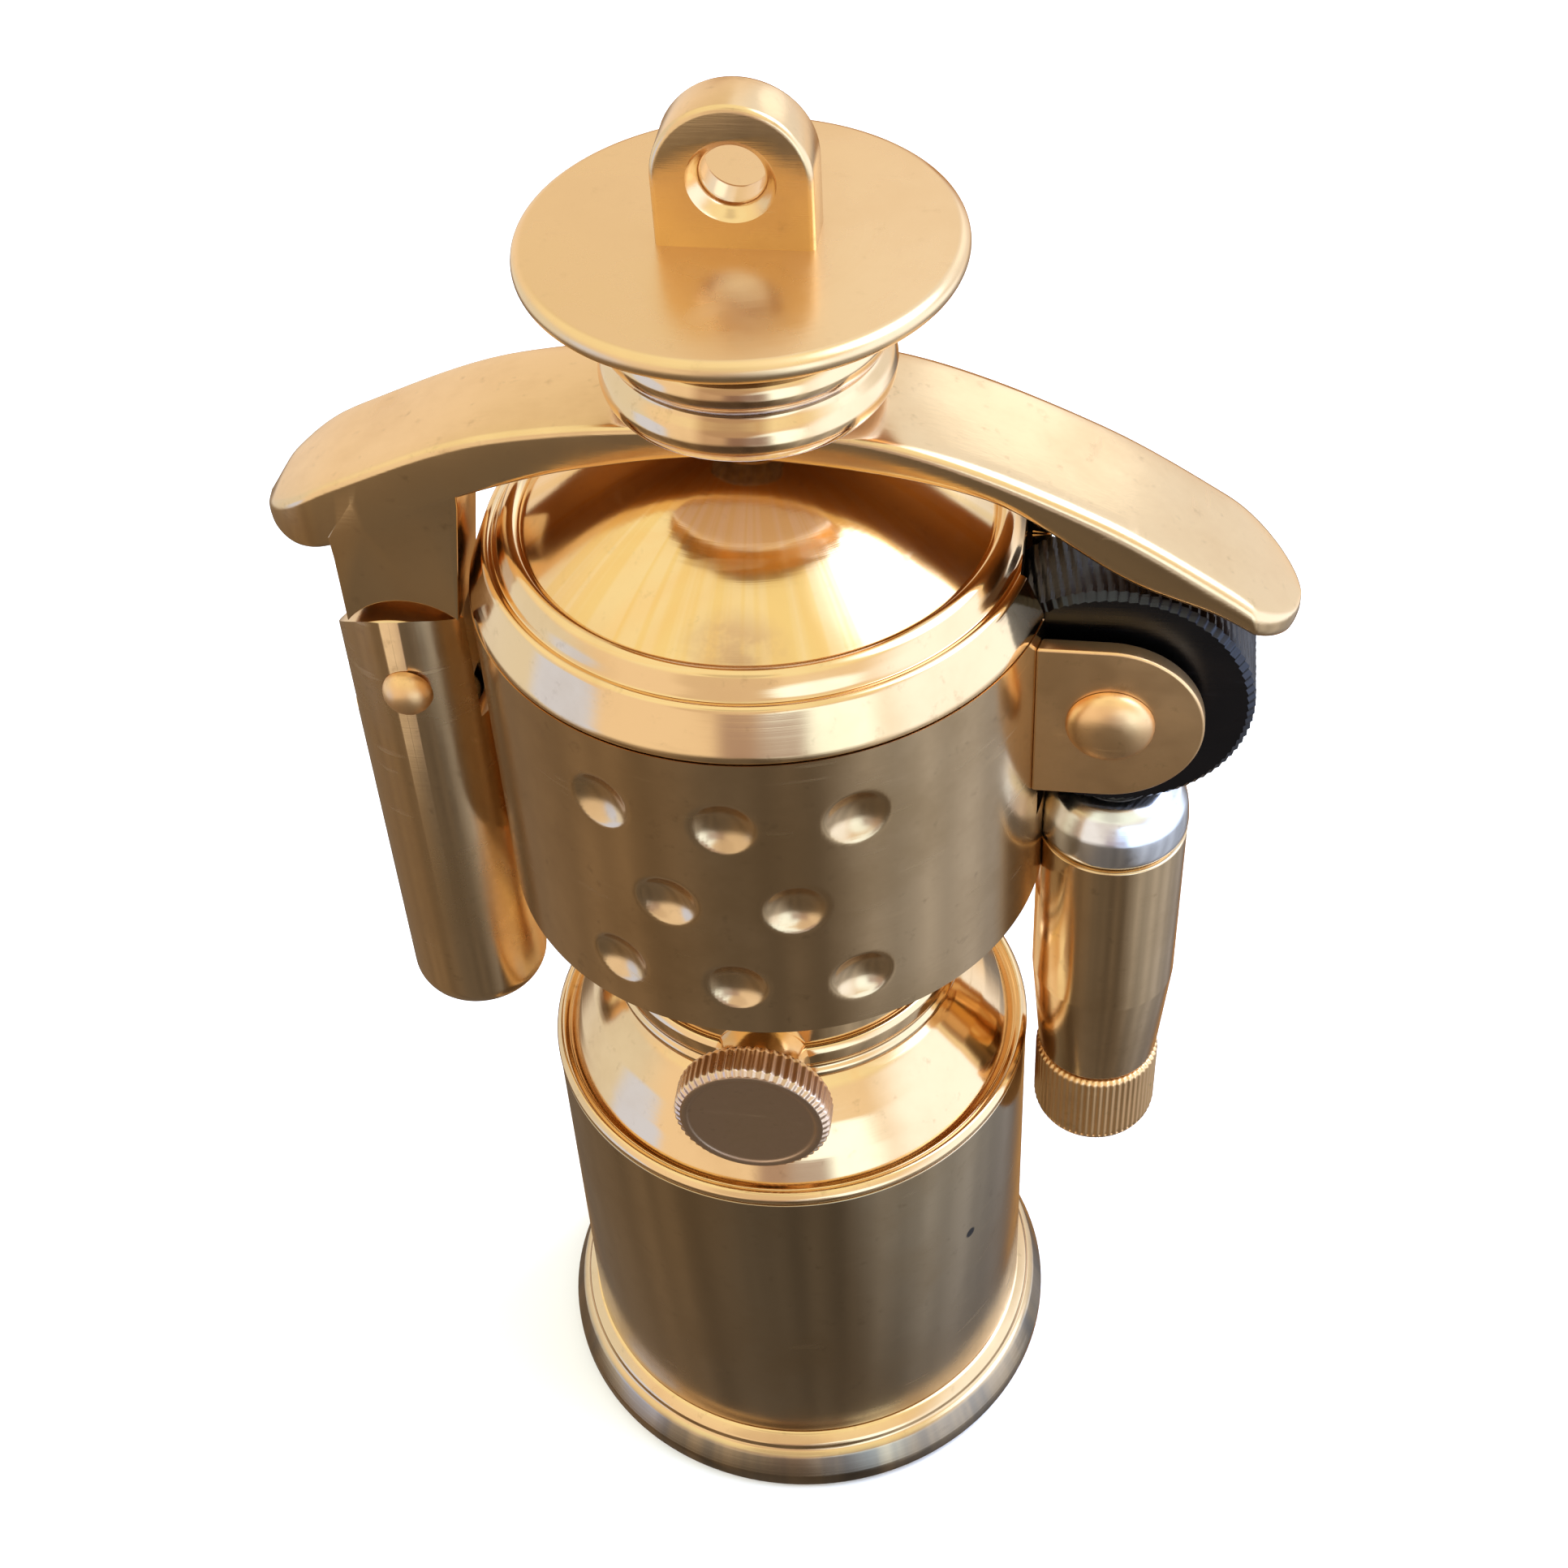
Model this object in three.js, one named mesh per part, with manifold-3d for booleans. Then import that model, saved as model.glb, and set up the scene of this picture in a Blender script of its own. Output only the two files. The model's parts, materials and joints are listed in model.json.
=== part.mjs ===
// Brass petrol lighter in the shape of a miner's carbide lamp, as separate pieces.
// Millimetres, +Z up, origin on the tank axis at the underside of the foot.
// The lever runs along X: its hinge tube is at -X, the flint wheel at +X, the filler plug at -Y.

import * as THREE from "three";
import { mergeVertices } from "three/addons/utils/BufferGeometryUtils.js";
import Module from "manifold-3d";

const wasm = await Module();
wasm.setup();

// ---------- driving dimensions ----------

const tank = { r: 10, wall: 0.6, bottom: 3, top: 20.3 };
const foot = { r: 11.2, floorR: 10.95, top: 2.95, discR: 9.1, discThick: 1.2, discGap: 0.2 };
const wadding = { holeR: 1.1, r: 8.9, bottom: 1.4, top: 19.4 };
const shoulder = { lipZ: 20.95, grooveR: 9.47, neckR: 6.85, neckZ: 24.6, thick: 0.6 };
const collar = { r: 7.25, bottom: 24.7 };
const drum = { r: 10.42, wall: 0.7, bottom: 31.8, top: 45.46, floorThick: 0.9 };
const rim = { topR: 9.15, innerR: 8.45, topZ: 48.2 };
const dome = { r: 8.35, z: 47.95, rise: 3.4, thick: 0.7 };
const dimple = { sphereR: 1.75, depth: 0.42, pitch: 25.2, middleZ: 38.35, rowGap: 4.07 };
const wick = { r: 0.9, bottom: 2.5, top: 51.8 };
const wickTube = { innerR: 1.05, r: 1.55, bottom: 26, top: 51.45 };

const springTube = { x: -13.25, r: 2.8, bore: 2.15, bottom: 22.3, floor: 23.6 };
const hinge = { x: -13, z: 40.7, lugR: 2.15, knuckleR: 3.35, gap: 0.2 };
const hingePin = { r: 0.6, headR: 0.95, headRise: 0.8 };
const tongue = { half: 1.2, slotHalf: 1.45, reach: 1.75 };
const plunger = { r: 2.0, bottom: 30.2, top: 38.35, chamfer: 0.5 };
const plungerSpring = { r: 1.6, wire: 0.28, turns: 6 };

const axle = { r: 0.8, headR: 1.57, headRise: 0.75 };
const wheel = { x: 12.64, z: 41.4, r: 5.06, half: 2, teeth: 40, toothDepth: 0.35 };
const bracket = { inner: 2.45, thick: 0.65, r: 3.45, left: 9.6, cope: 10.5 };
const slot = { half: 2.3, bottom: 35.8, rimLeft: 9.3 };
const flintTube = { x: 13, r: 2.85, lowR: 2.55, bore: 1.45, bottom: 20.45, top: 33.4 };
const ferrule = { r: 2.88, top: 36.05 };
const flint = { r: 1.3, bottom: 31.6, top: 36.25 };
const flintSpring = { r: 1, wire: 0.2, turns: 7 };
const flintScrew = {
  r: 2.55, endR: 2.45, bottom: 16.2, endRise: 0.7, headTop: 20.25, shankR: 1.3, shankTop: 23,
  teeth: 26, toothDepth: 0.12,
};

const arm = { halfLeft: 2.5, halfRight: 2.8, left: -17.65, right: 18.9, tipR: 3.2, holeR: 2.45 };
const leg = { back: 0.4, top: 48.6 };
const neck = { bottom: 53.45, top: 58.1, spigotR: 2.3, spigotBottom: 52.65 };
const pad = { r: 2.2, bottom: 51.85, top: 52.55 };
const cap = { r: 7.35, bottom: 58.15, top: 59 };
const bail = { half: 2.58, thick: 2, footZ: 59.05, archZ: 61.35, holeR: 1 };

const plug = {
  z: 25.8, faceY: -10.05, r: 3.05, thick: 1.5, teeth: 24, toothDepth: 0.22, shankR: 1.2, shankEndY: -5.6,
  bossR: 1.9, bossEndY: -6.45, washerThick: 0.4,
};

// Clearance between pieces that touch, and round a pin or shank in its hole.
const seam = 0.05;
const fit = 0.03;

// ---------- colours ----------

const finish = (color, roughness, metalness = 1) =>
  new THREE.MeshStandardMaterial({ color, roughness, metalness });
const BRIGHT = 0xd9b072;
const SATIN = 0x6f5a3c;
const STEEL = 0x2b2e33;
const NICKEL = 0xc9c8c4;
const COTTON = 0xe8e2d2;
const RUBBER = 0x2a2420;
const FLINT = 0x55504a;

// ---------- geometry helpers ----------

const V2 = (x, y) => new THREE.Vector2(x, y);

// A closed outline of [radius, z] corners, turned about the Z axis.
function turned(corners, segments = 32) {
  const onAxis = corners[0][0] === 0 && corners.at(-1)[0] === 0;
  const profile = onAxis ? corners : [...corners, corners[0]];
  const geometry = new THREE.LatheGeometry(profile.map(([r, z]) => V2(r, z)), segments);
  return geometry.rotateX(Math.PI / 2);
}

// A plain cylinder from z0 to z1 about a vertical axis at x.
function rod(r, z0, z1, x = 0, segments = 24) {
  return turned([[0, z0], [r, z0], [r, z1], [0, z1]], segments).translate(x, 0, 0);
}

// A cylinder along Y, between y0 and y1, about the point (x, z).
function crossRod(r, y0, y1, x, z, segments = 24) {
  const cylinder = new THREE.CylinderGeometry(r, r, y1 - y0, segments);
  return cylinder.translate(x, (y0 + y1) / 2, z);
}

// An outline drawn in the XZ plane, extruded from y = -half to y = +half.
function plate(shape, half, curveSegments = 10) {
  const options = { depth: 2 * half, bevelEnabled: false, curveSegments };
  const geometry = new THREE.ExtrudeGeometry(shape, options);
  return geometry.rotateX(Math.PI / 2).translate(0, half, 0);
}

function block(x0, x1, y0, y1, z0, z1) {
  const box = new THREE.BoxGeometry(x1 - x0, y1 - y0, z1 - z0);
  return box.translate((x0 + x1) / 2, (y0 + y1) / 2, (z0 + z1) / 2);
}

function solid(geometry) {
  const bare = new THREE.BufferGeometry();
  bare.setAttribute("position", geometry.getAttribute("position").clone());
  if (geometry.index) bare.setIndex(geometry.index.clone());
  const merged = mergeVertices(bare, 1e-4);
  const vertProperties = new Float32Array(merged.getAttribute("position").array);
  const corners = merged.index.array;
  const kept = [];
  for (let i = 0; i < corners.length; i += 3) {
    const [a, b, c] = corners.slice(i, i + 3);
    if (a !== b && b !== c && c !== a) kept.push(a, b, c);
  }
  const triVerts = new Uint32Array(kept);
  return new wasm.Manifold(new wasm.Mesh({ numProp: 3, vertProperties, triVerts }));
}

function geometryOf(body) {
  const mesh = body.getMesh();
  const geometry = new THREE.BufferGeometry();
  const positions = new Float32Array(mesh.vertProperties);
  geometry.setAttribute("position", new THREE.BufferAttribute(positions, 3));
  geometry.setIndex(new THREE.BufferAttribute(new Uint32Array(mesh.triVerts), 1));
  geometry.computeVertexNormals();
  return geometry;
}

const cut = (base, ...tools) =>
  geometryOf(tools.reduce((body, tool) => body.subtract(solid(tool)), solid(base)));
const join = (base, ...others) =>
  geometryOf(others.reduce((body, other) => body.add(solid(other)), solid(base)));

// A pin along Y with a domed head at each end; reach is where the heads start.
function rivet(r, headR, headHeight, reach) {
  const heads = [-1, 1].map((side) => {
    const ball = new THREE.SphereGeometry(headR, 14, 8).scale(1, headHeight / headR, 1);
    const inside = block(-2, 2, Math.min(0, -side * 2), Math.max(0, -side * 2), -2, 2);
    return cut(ball, inside).translate(0, side * reach, 0);
  });
  return join(crossRod(r, -reach - 0.01, reach + 0.01, 0, 0, 20), ...heads);
}

// The edge of a toothed wheel as a shape: straight-sided teeth round a circle.
function toothedShape(r, teeth, depth) {
  const points = [];
  for (let i = 0; i < 2 * teeth; i += 1) {
    const angle = (i * Math.PI) / teeth;
    const radius = i % 2 ? r - depth : r;
    points.push(V2(radius * Math.cos(angle), radius * Math.sin(angle)));
  }
  return new THREE.Shape(points);
}

// A round-wire coil spring about a vertical axis at x.
function coil(x, [z0, z1], { r: radius, wire, turns }) {
  class Helix extends THREE.Curve {
    getPoint(t, target = new THREE.Vector3()) {
      const angle = t * turns * 2 * Math.PI;
      const z = z0 + wire + (z1 - z0 - 2 * wire) * t;
      return target.set(x + radius * Math.cos(angle), radius * Math.sin(angle), z);
    }
  }
  const section = new THREE.Shape();
  for (let i = 0; i < 5; i += 1) {
    const angle = (i * 2 * Math.PI) / 5;
    const point = [wire * Math.cos(angle), wire * Math.sin(angle)];
    if (i) section.lineTo(...point);
    else section.moveTo(...point);
  }
  return new THREE.ExtrudeGeometry(section, { steps: turns * 7, extrudePath: new Helix() });
}

const assembly = new THREE.Group();
function add(name, geometry, color, roughness = 0.35, metalness = 1) {
  const mesh = new THREE.Mesh(geometry, finish(color, roughness, metalness));
  mesh.name = name;
  assembly.add(mesh);
}

// ---------- tank ----------

// Foot moulding: two fine steps, a polished bevel and a short upright edge.
const footProfile = [
  [foot.discR + foot.discGap, 0], [foot.floorR, 0], [foot.r, 0.35], [foot.r, 0.95],
  [10.75, 2.05], [10.5, 2.25], [10.4, 2.5], [tank.r + seam, foot.top],
  [foot.discR + foot.discGap, foot.top],
];
add("foot_ring", turned(footProfile), BRIGHT, 0.2);
add("base_disc", rod(foot.discR, 0, foot.discThick, 0, 32), SATIN, 0.4);

const wallIn = tank.r - tank.wall;
const tankProfile = [
  [wallIn, tank.bottom], [tank.r, tank.bottom], [tank.r, tank.top], [wallIn, tank.top],
];
add("tank_shell", turned(tankProfile), SATIN, 0.4);

// Shoulder: lip bead, fine groove, steep polished cone and the neck above it.
const shoulderOuter = [
  [tank.r, tank.top + seam], [tank.r + seam, 20.7], [9.8, shoulder.lipZ], [9.6, 20.85],
  [shoulder.grooveR, 20.6], [9.35, 20.85], [8.9, 21.8], [8.2, 23.0], [7.3, 24.2],
  [shoulder.neckR, shoulder.neckZ], [shoulder.neckR, drum.bottom - seam],
];
const shoulderInner = [
  [shoulder.neckR - shoulder.thick, drum.bottom - seam], [shoulder.neckR - shoulder.thick, 24.3],
  [7.4, 22.9], [8.6, tank.top + seam],
];
const bossHole = crossRod(plug.shankR + 0.15, -9, -5, 0, plug.z, 20);
add("tank_shoulder", cut(turned([...shoulderOuter, ...shoulderInner]), bossHole), BRIGHT, 0.2);

const ringIn = shoulder.neckR + 0.04;
const collarProfile = [
  [ringIn, collar.bottom], [7.1, collar.bottom], [collar.r, 24.9], [collar.r, 25.2], [7.07, 25.4],
  [7.2, 25.7], [7.2, 26.3], [ringIn, 26.6],
];
const bossSeat = crossRod(plug.bossR + 0.3, -9, -5, 0, plug.z, 24);
add("neck_collar", cut(turned(collarProfile), bossSeat), BRIGHT, 0.2);

const waddingProfile = [
  [wadding.holeR, wadding.bottom], [wadding.r, wadding.bottom],
  [wadding.r, wadding.top], [wadding.holeR, wadding.top],
];
add("cotton_wadding", turned(waddingProfile), COTTON, 1, 0);
add("wick", rod(wick.r, wick.bottom, wick.top, 0, 16), COTTON, 1, 0);
const wickTubeProfile = [
  [wickTube.innerR, wickTube.bottom], [wickTube.r, wickTube.bottom],
  [wickTube.r, wickTube.top], [wickTube.innerR, wickTube.top],
];
add("wick_tube", turned(wickTubeProfile, 20), BRIGHT, 0.3);

// ---------- drum ----------

const drumIn = drum.r - drum.wall;
const wheelOpening = block(5, drum.r + 2, -slot.half, slot.half, slot.bottom, rim.topZ + 1);
const floorProfile = [
  [wickTube.r + 0.1, drum.bottom], [drumIn - 0.1, drum.bottom],
  [drumIn - 0.1, drum.bottom + drum.floorThick], [wickTube.r + 0.1, drum.bottom + drum.floorThick],
];
add("drum_floor", turned(floorProfile), SATIN, 0.4);

// Eight shallow round dents in three staggered rows, centred on -Y.
const dents = [];
for (const [row, steps] of [[1, [-1, 0, 1]], [0, [-0.5, 0.5]], [-1, [-1, 0, 1]]]) {
  for (const step of steps) {
    const angle = THREE.MathUtils.degToRad(step * dimple.pitch);
    const reach = drum.r + dimple.sphereR - dimple.depth;
    const dent = new THREE.SphereGeometry(dimple.sphereR, 14, 9);
    const z = dimple.middleZ + row * dimple.rowGap;
    dents.push(dent.translate(reach * Math.sin(angle), -reach * Math.cos(angle), z));
  }
}
const drumProfile = [
  [drumIn, drum.bottom], [drum.r, drum.bottom], [drum.r, drum.top], [drumIn, drum.top],
];
add("drum_shell", cut(turned(drumProfile, 40), wheelOpening, ...dents), SATIN, 0.4);

// Top rim: broad polished bevel, a fine bead, then a rolled edge round the dome.
const rimProfile = [
  [rim.innerR, drum.top + seam], [drum.r, drum.top + seam], [9.85, 47.1], [9.7, 47.3], [9.5, 47.3],
  [9.35, 47.25], [rim.topR, 47.75], [8.95, 48.1], [8.75, rim.topZ], [8.6, rim.topZ], [rim.innerR, 48.05],
];
const rimNotch = block(slot.rimLeft, drum.r + 2, -slot.half, slot.half, drum.bottom, rim.topZ + 1);
add("drum_rim", cut(turned(rimProfile), rimNotch), BRIGHT, 0.15);

const domePoint = (r, drop) => [r, dome.z + dome.rise * (1 - (r / dome.r) ** 2) - drop];
const domeRadii = [1.65, 3, 4.5, 5.8, 7, 7.8, dome.r];
const domeTop = domeRadii.map((r) => domePoint(r, 0)).reverse();
const domeUnder = domeRadii.slice(0, -1).map((r) => domePoint(r, dome.thick));
const domeProfile = [...domeTop, ...domeUnder, [dome.r, dome.z - dome.thick]];
add("drum_dome", turned(domeProfile), BRIGHT, 0.1);

// ---------- hinge tube, plunger and its spring ----------

// The top is rounded about the hinge pin, with a slot that lets the tongue swing out to -X.
const knuckle = new THREE.Shape();
const { x: hx, z: hz } = hinge;
const knuckleSide = springTube.r + 0.4;
const knuckleTurn = Math.acos((springTube.x + knuckleSide - hx) / hinge.knuckleR);
knuckle.moveTo(springTube.x - knuckleSide, springTube.bottom - 1);
knuckle.lineTo(springTube.x + knuckleSide, springTube.bottom - 1);
knuckle.lineTo(springTube.x + knuckleSide, hz);
knuckle.absarc(hx, hz, hinge.knuckleR, knuckleTurn, Math.PI, false);
knuckle.lineTo(springTube.x - knuckleSide, hz);
const roundedTop = plate(knuckle, knuckleSide, 18);
const springTubeProfile = [
  [0, springTube.bottom], [springTube.r - 0.7, springTube.bottom],
  [springTube.r - 0.2, springTube.bottom + 0.2], [springTube.r, springTube.bottom + 0.7],
  [springTube.r, hz + 4], [0, hz + 4],
];
const tubeBody = solid(turned(springTubeProfile, 28).translate(springTube.x, 0, 0))
  .intersect(solid(roundedTop));
const tubeBore = rod(springTube.bore, springTube.floor, hz + 0.5, springTube.x, 28);
const slotRight = hx + hinge.lugR + 0.25;
const tongueSlot = block(hx - 4, slotRight, -tongue.slotHalf, tongue.slotHalf, hz - 2.4, hz + 5);
const pinHole = crossRod(hingePin.r + fit, -4, 4, hx, hz, 16);
const hollowTube = [tubeBore, tongueSlot, pinHole].reduce((b, t) => b.subtract(solid(t)), tubeBody);
add("spring_tube", geometryOf(hollowTube), SATIN, 0.35);

const pin = rivet(hingePin.r, hingePin.headR, hingePin.headRise, springTube.r + fit);
add("hinge_pin", pin.translate(hx, 0, hz), BRIGHT, 0.25);

const plungerSpan = [springTube.floor + 0.1, plunger.bottom - 0.1];
add("plunger_spring", coil(springTube.x, plungerSpan, plungerSpring), STEEL, 0.4);
const plungerProfile = [
  [0, plunger.bottom], [plunger.r, plunger.bottom], [plunger.r, plunger.top - plunger.chamfer],
  [plunger.r - plunger.chamfer, plunger.top], [0, plunger.top],
];
add("snap_plunger", turned(plungerProfile, 24).translate(springTube.x, 0, 0), NICKEL, 0.3);

// ---------- flint wheel, its brackets and the flint tube ----------

// Brackets, tube and ferrule are coped where they stand against the drum wall.
const drumSide = rod(bracket.cope, drum.bottom - 0.3, drum.top, 0, 40);
const ear = new THREE.Shape();
ear.moveTo(bracket.left, wheel.z - bracket.r);
ear.lineTo(wheel.x - 0.15, wheel.z - bracket.r);
ear.absarc(wheel.x - 0.15, wheel.z - 0.1, bracket.r, -Math.PI / 2, Math.PI / 2, false);
ear.lineTo(bracket.left, wheel.z - 0.1 + bracket.r);
for (const [name, side] of [["front_bracket", -1], ["rear_bracket", 1]]) {
  const half = bracket.thick / 2;
  const y = side * (bracket.inner + half);
  const hole = crossRod(axle.r + fit, -8, 8, wheel.x, wheel.z, 20);
  add(name, cut(plate(ear, half, 14).translate(0, y, 0), hole, drumSide), SATIN, 0.3);
}

const axleReach = bracket.inner + bracket.thick + fit;
const axlePin = rivet(axle.r, axle.headR, axle.headRise, axleReach).translate(wheel.x, 0, wheel.z);
add("wheel_axle", axlePin, BRIGHT, 0.25);

const wheelDisc = plate(toothedShape(wheel.r, wheel.teeth, wheel.toothDepth), wheel.half);
const wheelBore = crossRod(axle.r + seam, -4, 4, 0, 0, 20);
const wheelGeometry = cut(wheelDisc, wheelBore).translate(wheel.x, 0, wheel.z);
add("flint_wheel", wheelGeometry, STEEL, 0.45);

const flintTubeProfile = [
  [flintTube.bore, flintTube.bottom], [flintTube.lowR, flintTube.bottom],
  [flintTube.r, 24], [flintTube.r, flintTube.top], [flintTube.bore, flintTube.top],
];
const flintTubeBody = turned(flintTubeProfile, 24).translate(flintTube.x, 0, 0);
add("flint_tube", cut(flintTubeBody, drumSide), SATIN, 0.35);
const ferruleProfile = [
  [flintTube.bore, flintTube.top + seam], [ferrule.r - 0.2, flintTube.top + seam],
  [ferrule.r, flintTube.top + 0.3], [ferrule.r, ferrule.top - 0.4],
  [ferrule.r - 0.35, ferrule.top], [flintTube.bore, ferrule.top],
];
const ferruleBody = turned(ferruleProfile, 24).translate(flintTube.x, 0, 0);
add("flint_ferrule", cut(ferruleBody, drumSide), NICKEL, 0.2);
add("flint", rod(flint.r, flint.bottom, flint.top, flintTube.x, 16), FLINT, 0.7);
const flintSpan = [flintScrew.shankTop + 0.1, flint.bottom - 0.1];
add("flint_spring", coil(flintTube.x, flintSpan, flintSpring), NICKEL, 0.4);

// Knurled screw head with a rounded end, and the plain shank that stands for its thread.
const screwOutline = toothedShape(flintScrew.r, flintScrew.teeth, flintScrew.toothDepth);
const screwHead = new THREE.ExtrudeGeometry(screwOutline, {
  depth: flintScrew.headTop - flintScrew.bottom - flintScrew.endRise, bevelEnabled: false,
}).translate(0, 0, flintScrew.bottom + flintScrew.endRise);
const screwEndTop = flintScrew.bottom + flintScrew.endRise + 0.01;
const screwEnd = turned([
  [0, flintScrew.bottom], [flintScrew.endR - 0.5, flintScrew.bottom],
  [flintScrew.endR - 0.15, flintScrew.bottom + 0.2], [flintScrew.endR, screwEndTop], [0, screwEndTop],
], flintScrew.teeth);
const screwShank = rod(flintScrew.shankR, flintScrew.headTop - 0.1, flintScrew.shankTop, 0, 20);
const screwBody = join(screwHead, screwEnd, screwShank).translate(flintTube.x, 0, 0);
add("flint_screw", screwBody, BRIGHT, 0.4);

// ---------- filler plug ----------

const plugHead = new THREE.ExtrudeGeometry(toothedShape(plug.r, plug.teeth, plug.toothDepth), {
  depth: plug.thick, bevelEnabled: false,
});
plugHead.rotateX(-Math.PI / 2).translate(0, plug.faceY, plug.z);
const plugBack = plug.faceY + plug.thick;
const plugShank = crossRod(plug.shankR, plugBack - 0.1, plug.shankEndY, 0, plug.z, 20);
add("filler_plug", join(plugHead, plugShank), BRIGHT, 0.3);
const washerBack = plugBack + seam + plug.washerThick;
const washer = crossRod(plug.bossR, plugBack + seam, washerBack, 0, plug.z, 24);
const washerBore = crossRod(plug.shankR + 2 * fit, -12, 0, 0, plug.z, 20);
add("plug_washer", cut(washer, washerBore), RUBBER, 0.8, 0);
const boss = crossRod(plug.bossR, washerBack + seam, plug.bossEndY, 0, plug.z, 24);
const neckWall = turned([[0, 20], [8.4, 20], [8.4, 23.2], [7.3, 24.6], [7.3, 30], [0, 30]]);
add("filler_boss", cut(boss, washerBore, neckWall), BRIGHT, 0.3);

// ---------- lever: arm, leg and tongue in one piece ----------

const legRight = { top: [-9.9, 49.6], bottom: [-10.7, 43.3] };
const legLeft = { x: -14.85, z: 47 };
const socketR = hinge.knuckleR + hinge.gap;
const angleAt = (x) => Math.acos((x - hx) / socketR);
const profile = new THREE.Shape();
profile.moveTo(-17.3, 47.1);
profile.splineThru([V2(-17.65, 47.6), V2(-17.0, 48.4), V2(-14.4, 50.0), V2(-8.5, 52.4), V2(0, 53.3)]);
profile.splineThru([V2(5.5, 52.8), V2(11.7, 50.3), V2(16.5, 47.3), V2(arm.right, 45.3)]);
profile.splineThru([V2(18.5, 44.8), V2(16, 46.15), V2(13, 47.45), V2(8, 50.7), V2(0, 51.9)]);
profile.splineThru([V2(-5.5, 51.1), V2(...legRight.top)]);
profile.lineTo(...legRight.bottom);
profile.absarc(hx, hz, socketR, angleAt(legRight.bottom[0]), angleAt(legLeft.x), false);
profile.lineTo(legLeft.x, legLeft.z);
profile.splineThru([V2(-16.0, 46.9), V2(-17.3, 47.1)]);

// Plan outline: a slightly tapering strip with round ends, and a corner at the front of the right end.
const plan = new THREE.Shape();
const leftCentre = arm.left + arm.halfLeft;
const rightCentre = arm.right - arm.halfRight;
plan.absarc(leftCentre, 0, arm.halfLeft, Math.PI / 2, (3 * Math.PI) / 2, false);
const tipTurn = Math.asin(arm.halfRight / arm.tipR);
plan.absarc(arm.right - arm.tipR, 0, arm.tipR, -tipTurn, 0, false);
plan.absarc(rightCentre, 0, arm.halfRight, 0, Math.PI / 2, false);
const planBlock = new THREE.ExtrudeGeometry(plan, { depth: 30, bevelEnabled: false, curveSegments: 8 });
planBlock.translate(0, 0, 30);
const tongueShape = new THREE.Shape();
tongueShape.moveTo(hx - tongue.reach, hz);
tongueShape.lineTo(hx - tongue.reach, hz + 4.5);
tongueShape.lineTo(hx + tongue.reach, hz + 4.5);
tongueShape.lineTo(hx + tongue.reach, hz);
const tongueNeck = plate(tongueShape, tongue.half);
const lug = crossRod(hinge.lugR, -tongue.half, tongue.half, hx, hz, 32);
const lugBore = crossRod(hingePin.r + seam, -4, 4, hx, hz, 16);
const legBack = block(-15.5, -9, leg.back, 4, 40, leg.top);
const leverBody = solid(plate(profile, 4, 4))
  .subtract(solid(legBack))
  .intersect(solid(planBlock))
  .add(solid(tongueNeck))
  .add(solid(lug))
  .subtract(solid(lugBore))
  .subtract(solid(rod(arm.holeR, 45, 56, 0, 28)));
add("lever_arm", geometryOf(leverBody), BRIGHT, 0.25);

// ---------- cap: stepped neck, snuffer pad, disc and bail ----------

const neckProfile = [
  [0, neck.spigotBottom], [neck.spigotR, neck.spigotBottom], [neck.spigotR, neck.bottom],
  [4.8, neck.bottom], [5, 53.75], [5, 54.9], [4.75, 55.15], [4.9, 55.4], [4.9, 56.5],
  [4.7, 56.7], [4.3, 56.9], [4.25, 57.7], [4.5, neck.top], [0, neck.top],
];
add("cap_neck", turned(neckProfile), BRIGHT, 0.15);
add("snuffer_pad", rod(pad.r, pad.bottom, pad.top, 0, 24), RUBBER, 0.9, 0);
const discProfile = [
  [0, cap.bottom], [6.9, cap.bottom], [7.25, 58.3], [cap.r, 58.55], [7.28, 58.82], [7.05, cap.top],
  [0, cap.top],
];
add("cap_disc", turned(discProfile), BRIGHT, 0.15);

const tab = new THREE.Shape();
tab.moveTo(-bail.half, bail.footZ);
tab.lineTo(bail.half, bail.footZ);
tab.lineTo(bail.half, bail.archZ);
tab.absarc(0, bail.archZ, bail.half, 0, Math.PI, false);
const tabHole = crossRod(bail.holeR, -3, 3, 0, bail.archZ, 24);
add("bail_tab", cut(plate(tab, bail.thick / 2, 14), tabHole), BRIGHT, 0.2);

export default assembly;
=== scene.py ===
"""Looks of a brass petrol lighter shaped like a miner's lamp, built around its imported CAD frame.

Outlines and the helpers that take them are in millimetres, in the frame's own axes, and MM turns
them into metres. Materials, lights and the camera are in metres.
"""

import json
import math

import bmesh
import bpy
from mathutils import Matrix, Vector


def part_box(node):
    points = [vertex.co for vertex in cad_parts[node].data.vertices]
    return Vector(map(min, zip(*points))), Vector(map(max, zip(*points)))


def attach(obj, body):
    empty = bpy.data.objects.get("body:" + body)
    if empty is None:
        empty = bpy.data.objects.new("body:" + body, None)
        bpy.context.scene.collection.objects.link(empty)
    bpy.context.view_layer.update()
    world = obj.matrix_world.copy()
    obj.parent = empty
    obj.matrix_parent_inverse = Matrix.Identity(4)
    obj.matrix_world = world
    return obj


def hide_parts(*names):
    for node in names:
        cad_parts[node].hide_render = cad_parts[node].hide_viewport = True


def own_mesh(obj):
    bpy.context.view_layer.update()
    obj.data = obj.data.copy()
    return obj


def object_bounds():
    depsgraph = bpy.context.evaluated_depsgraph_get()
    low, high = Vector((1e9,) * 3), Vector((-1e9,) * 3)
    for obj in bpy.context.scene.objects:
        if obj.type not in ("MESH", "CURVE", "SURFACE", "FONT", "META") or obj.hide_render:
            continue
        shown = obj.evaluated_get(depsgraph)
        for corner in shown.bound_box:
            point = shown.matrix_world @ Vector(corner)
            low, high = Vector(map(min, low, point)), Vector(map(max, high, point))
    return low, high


MM = 0.001
CREASE = 35  # degrees; an edge stays sharp where its faces meet at more than this
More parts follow.
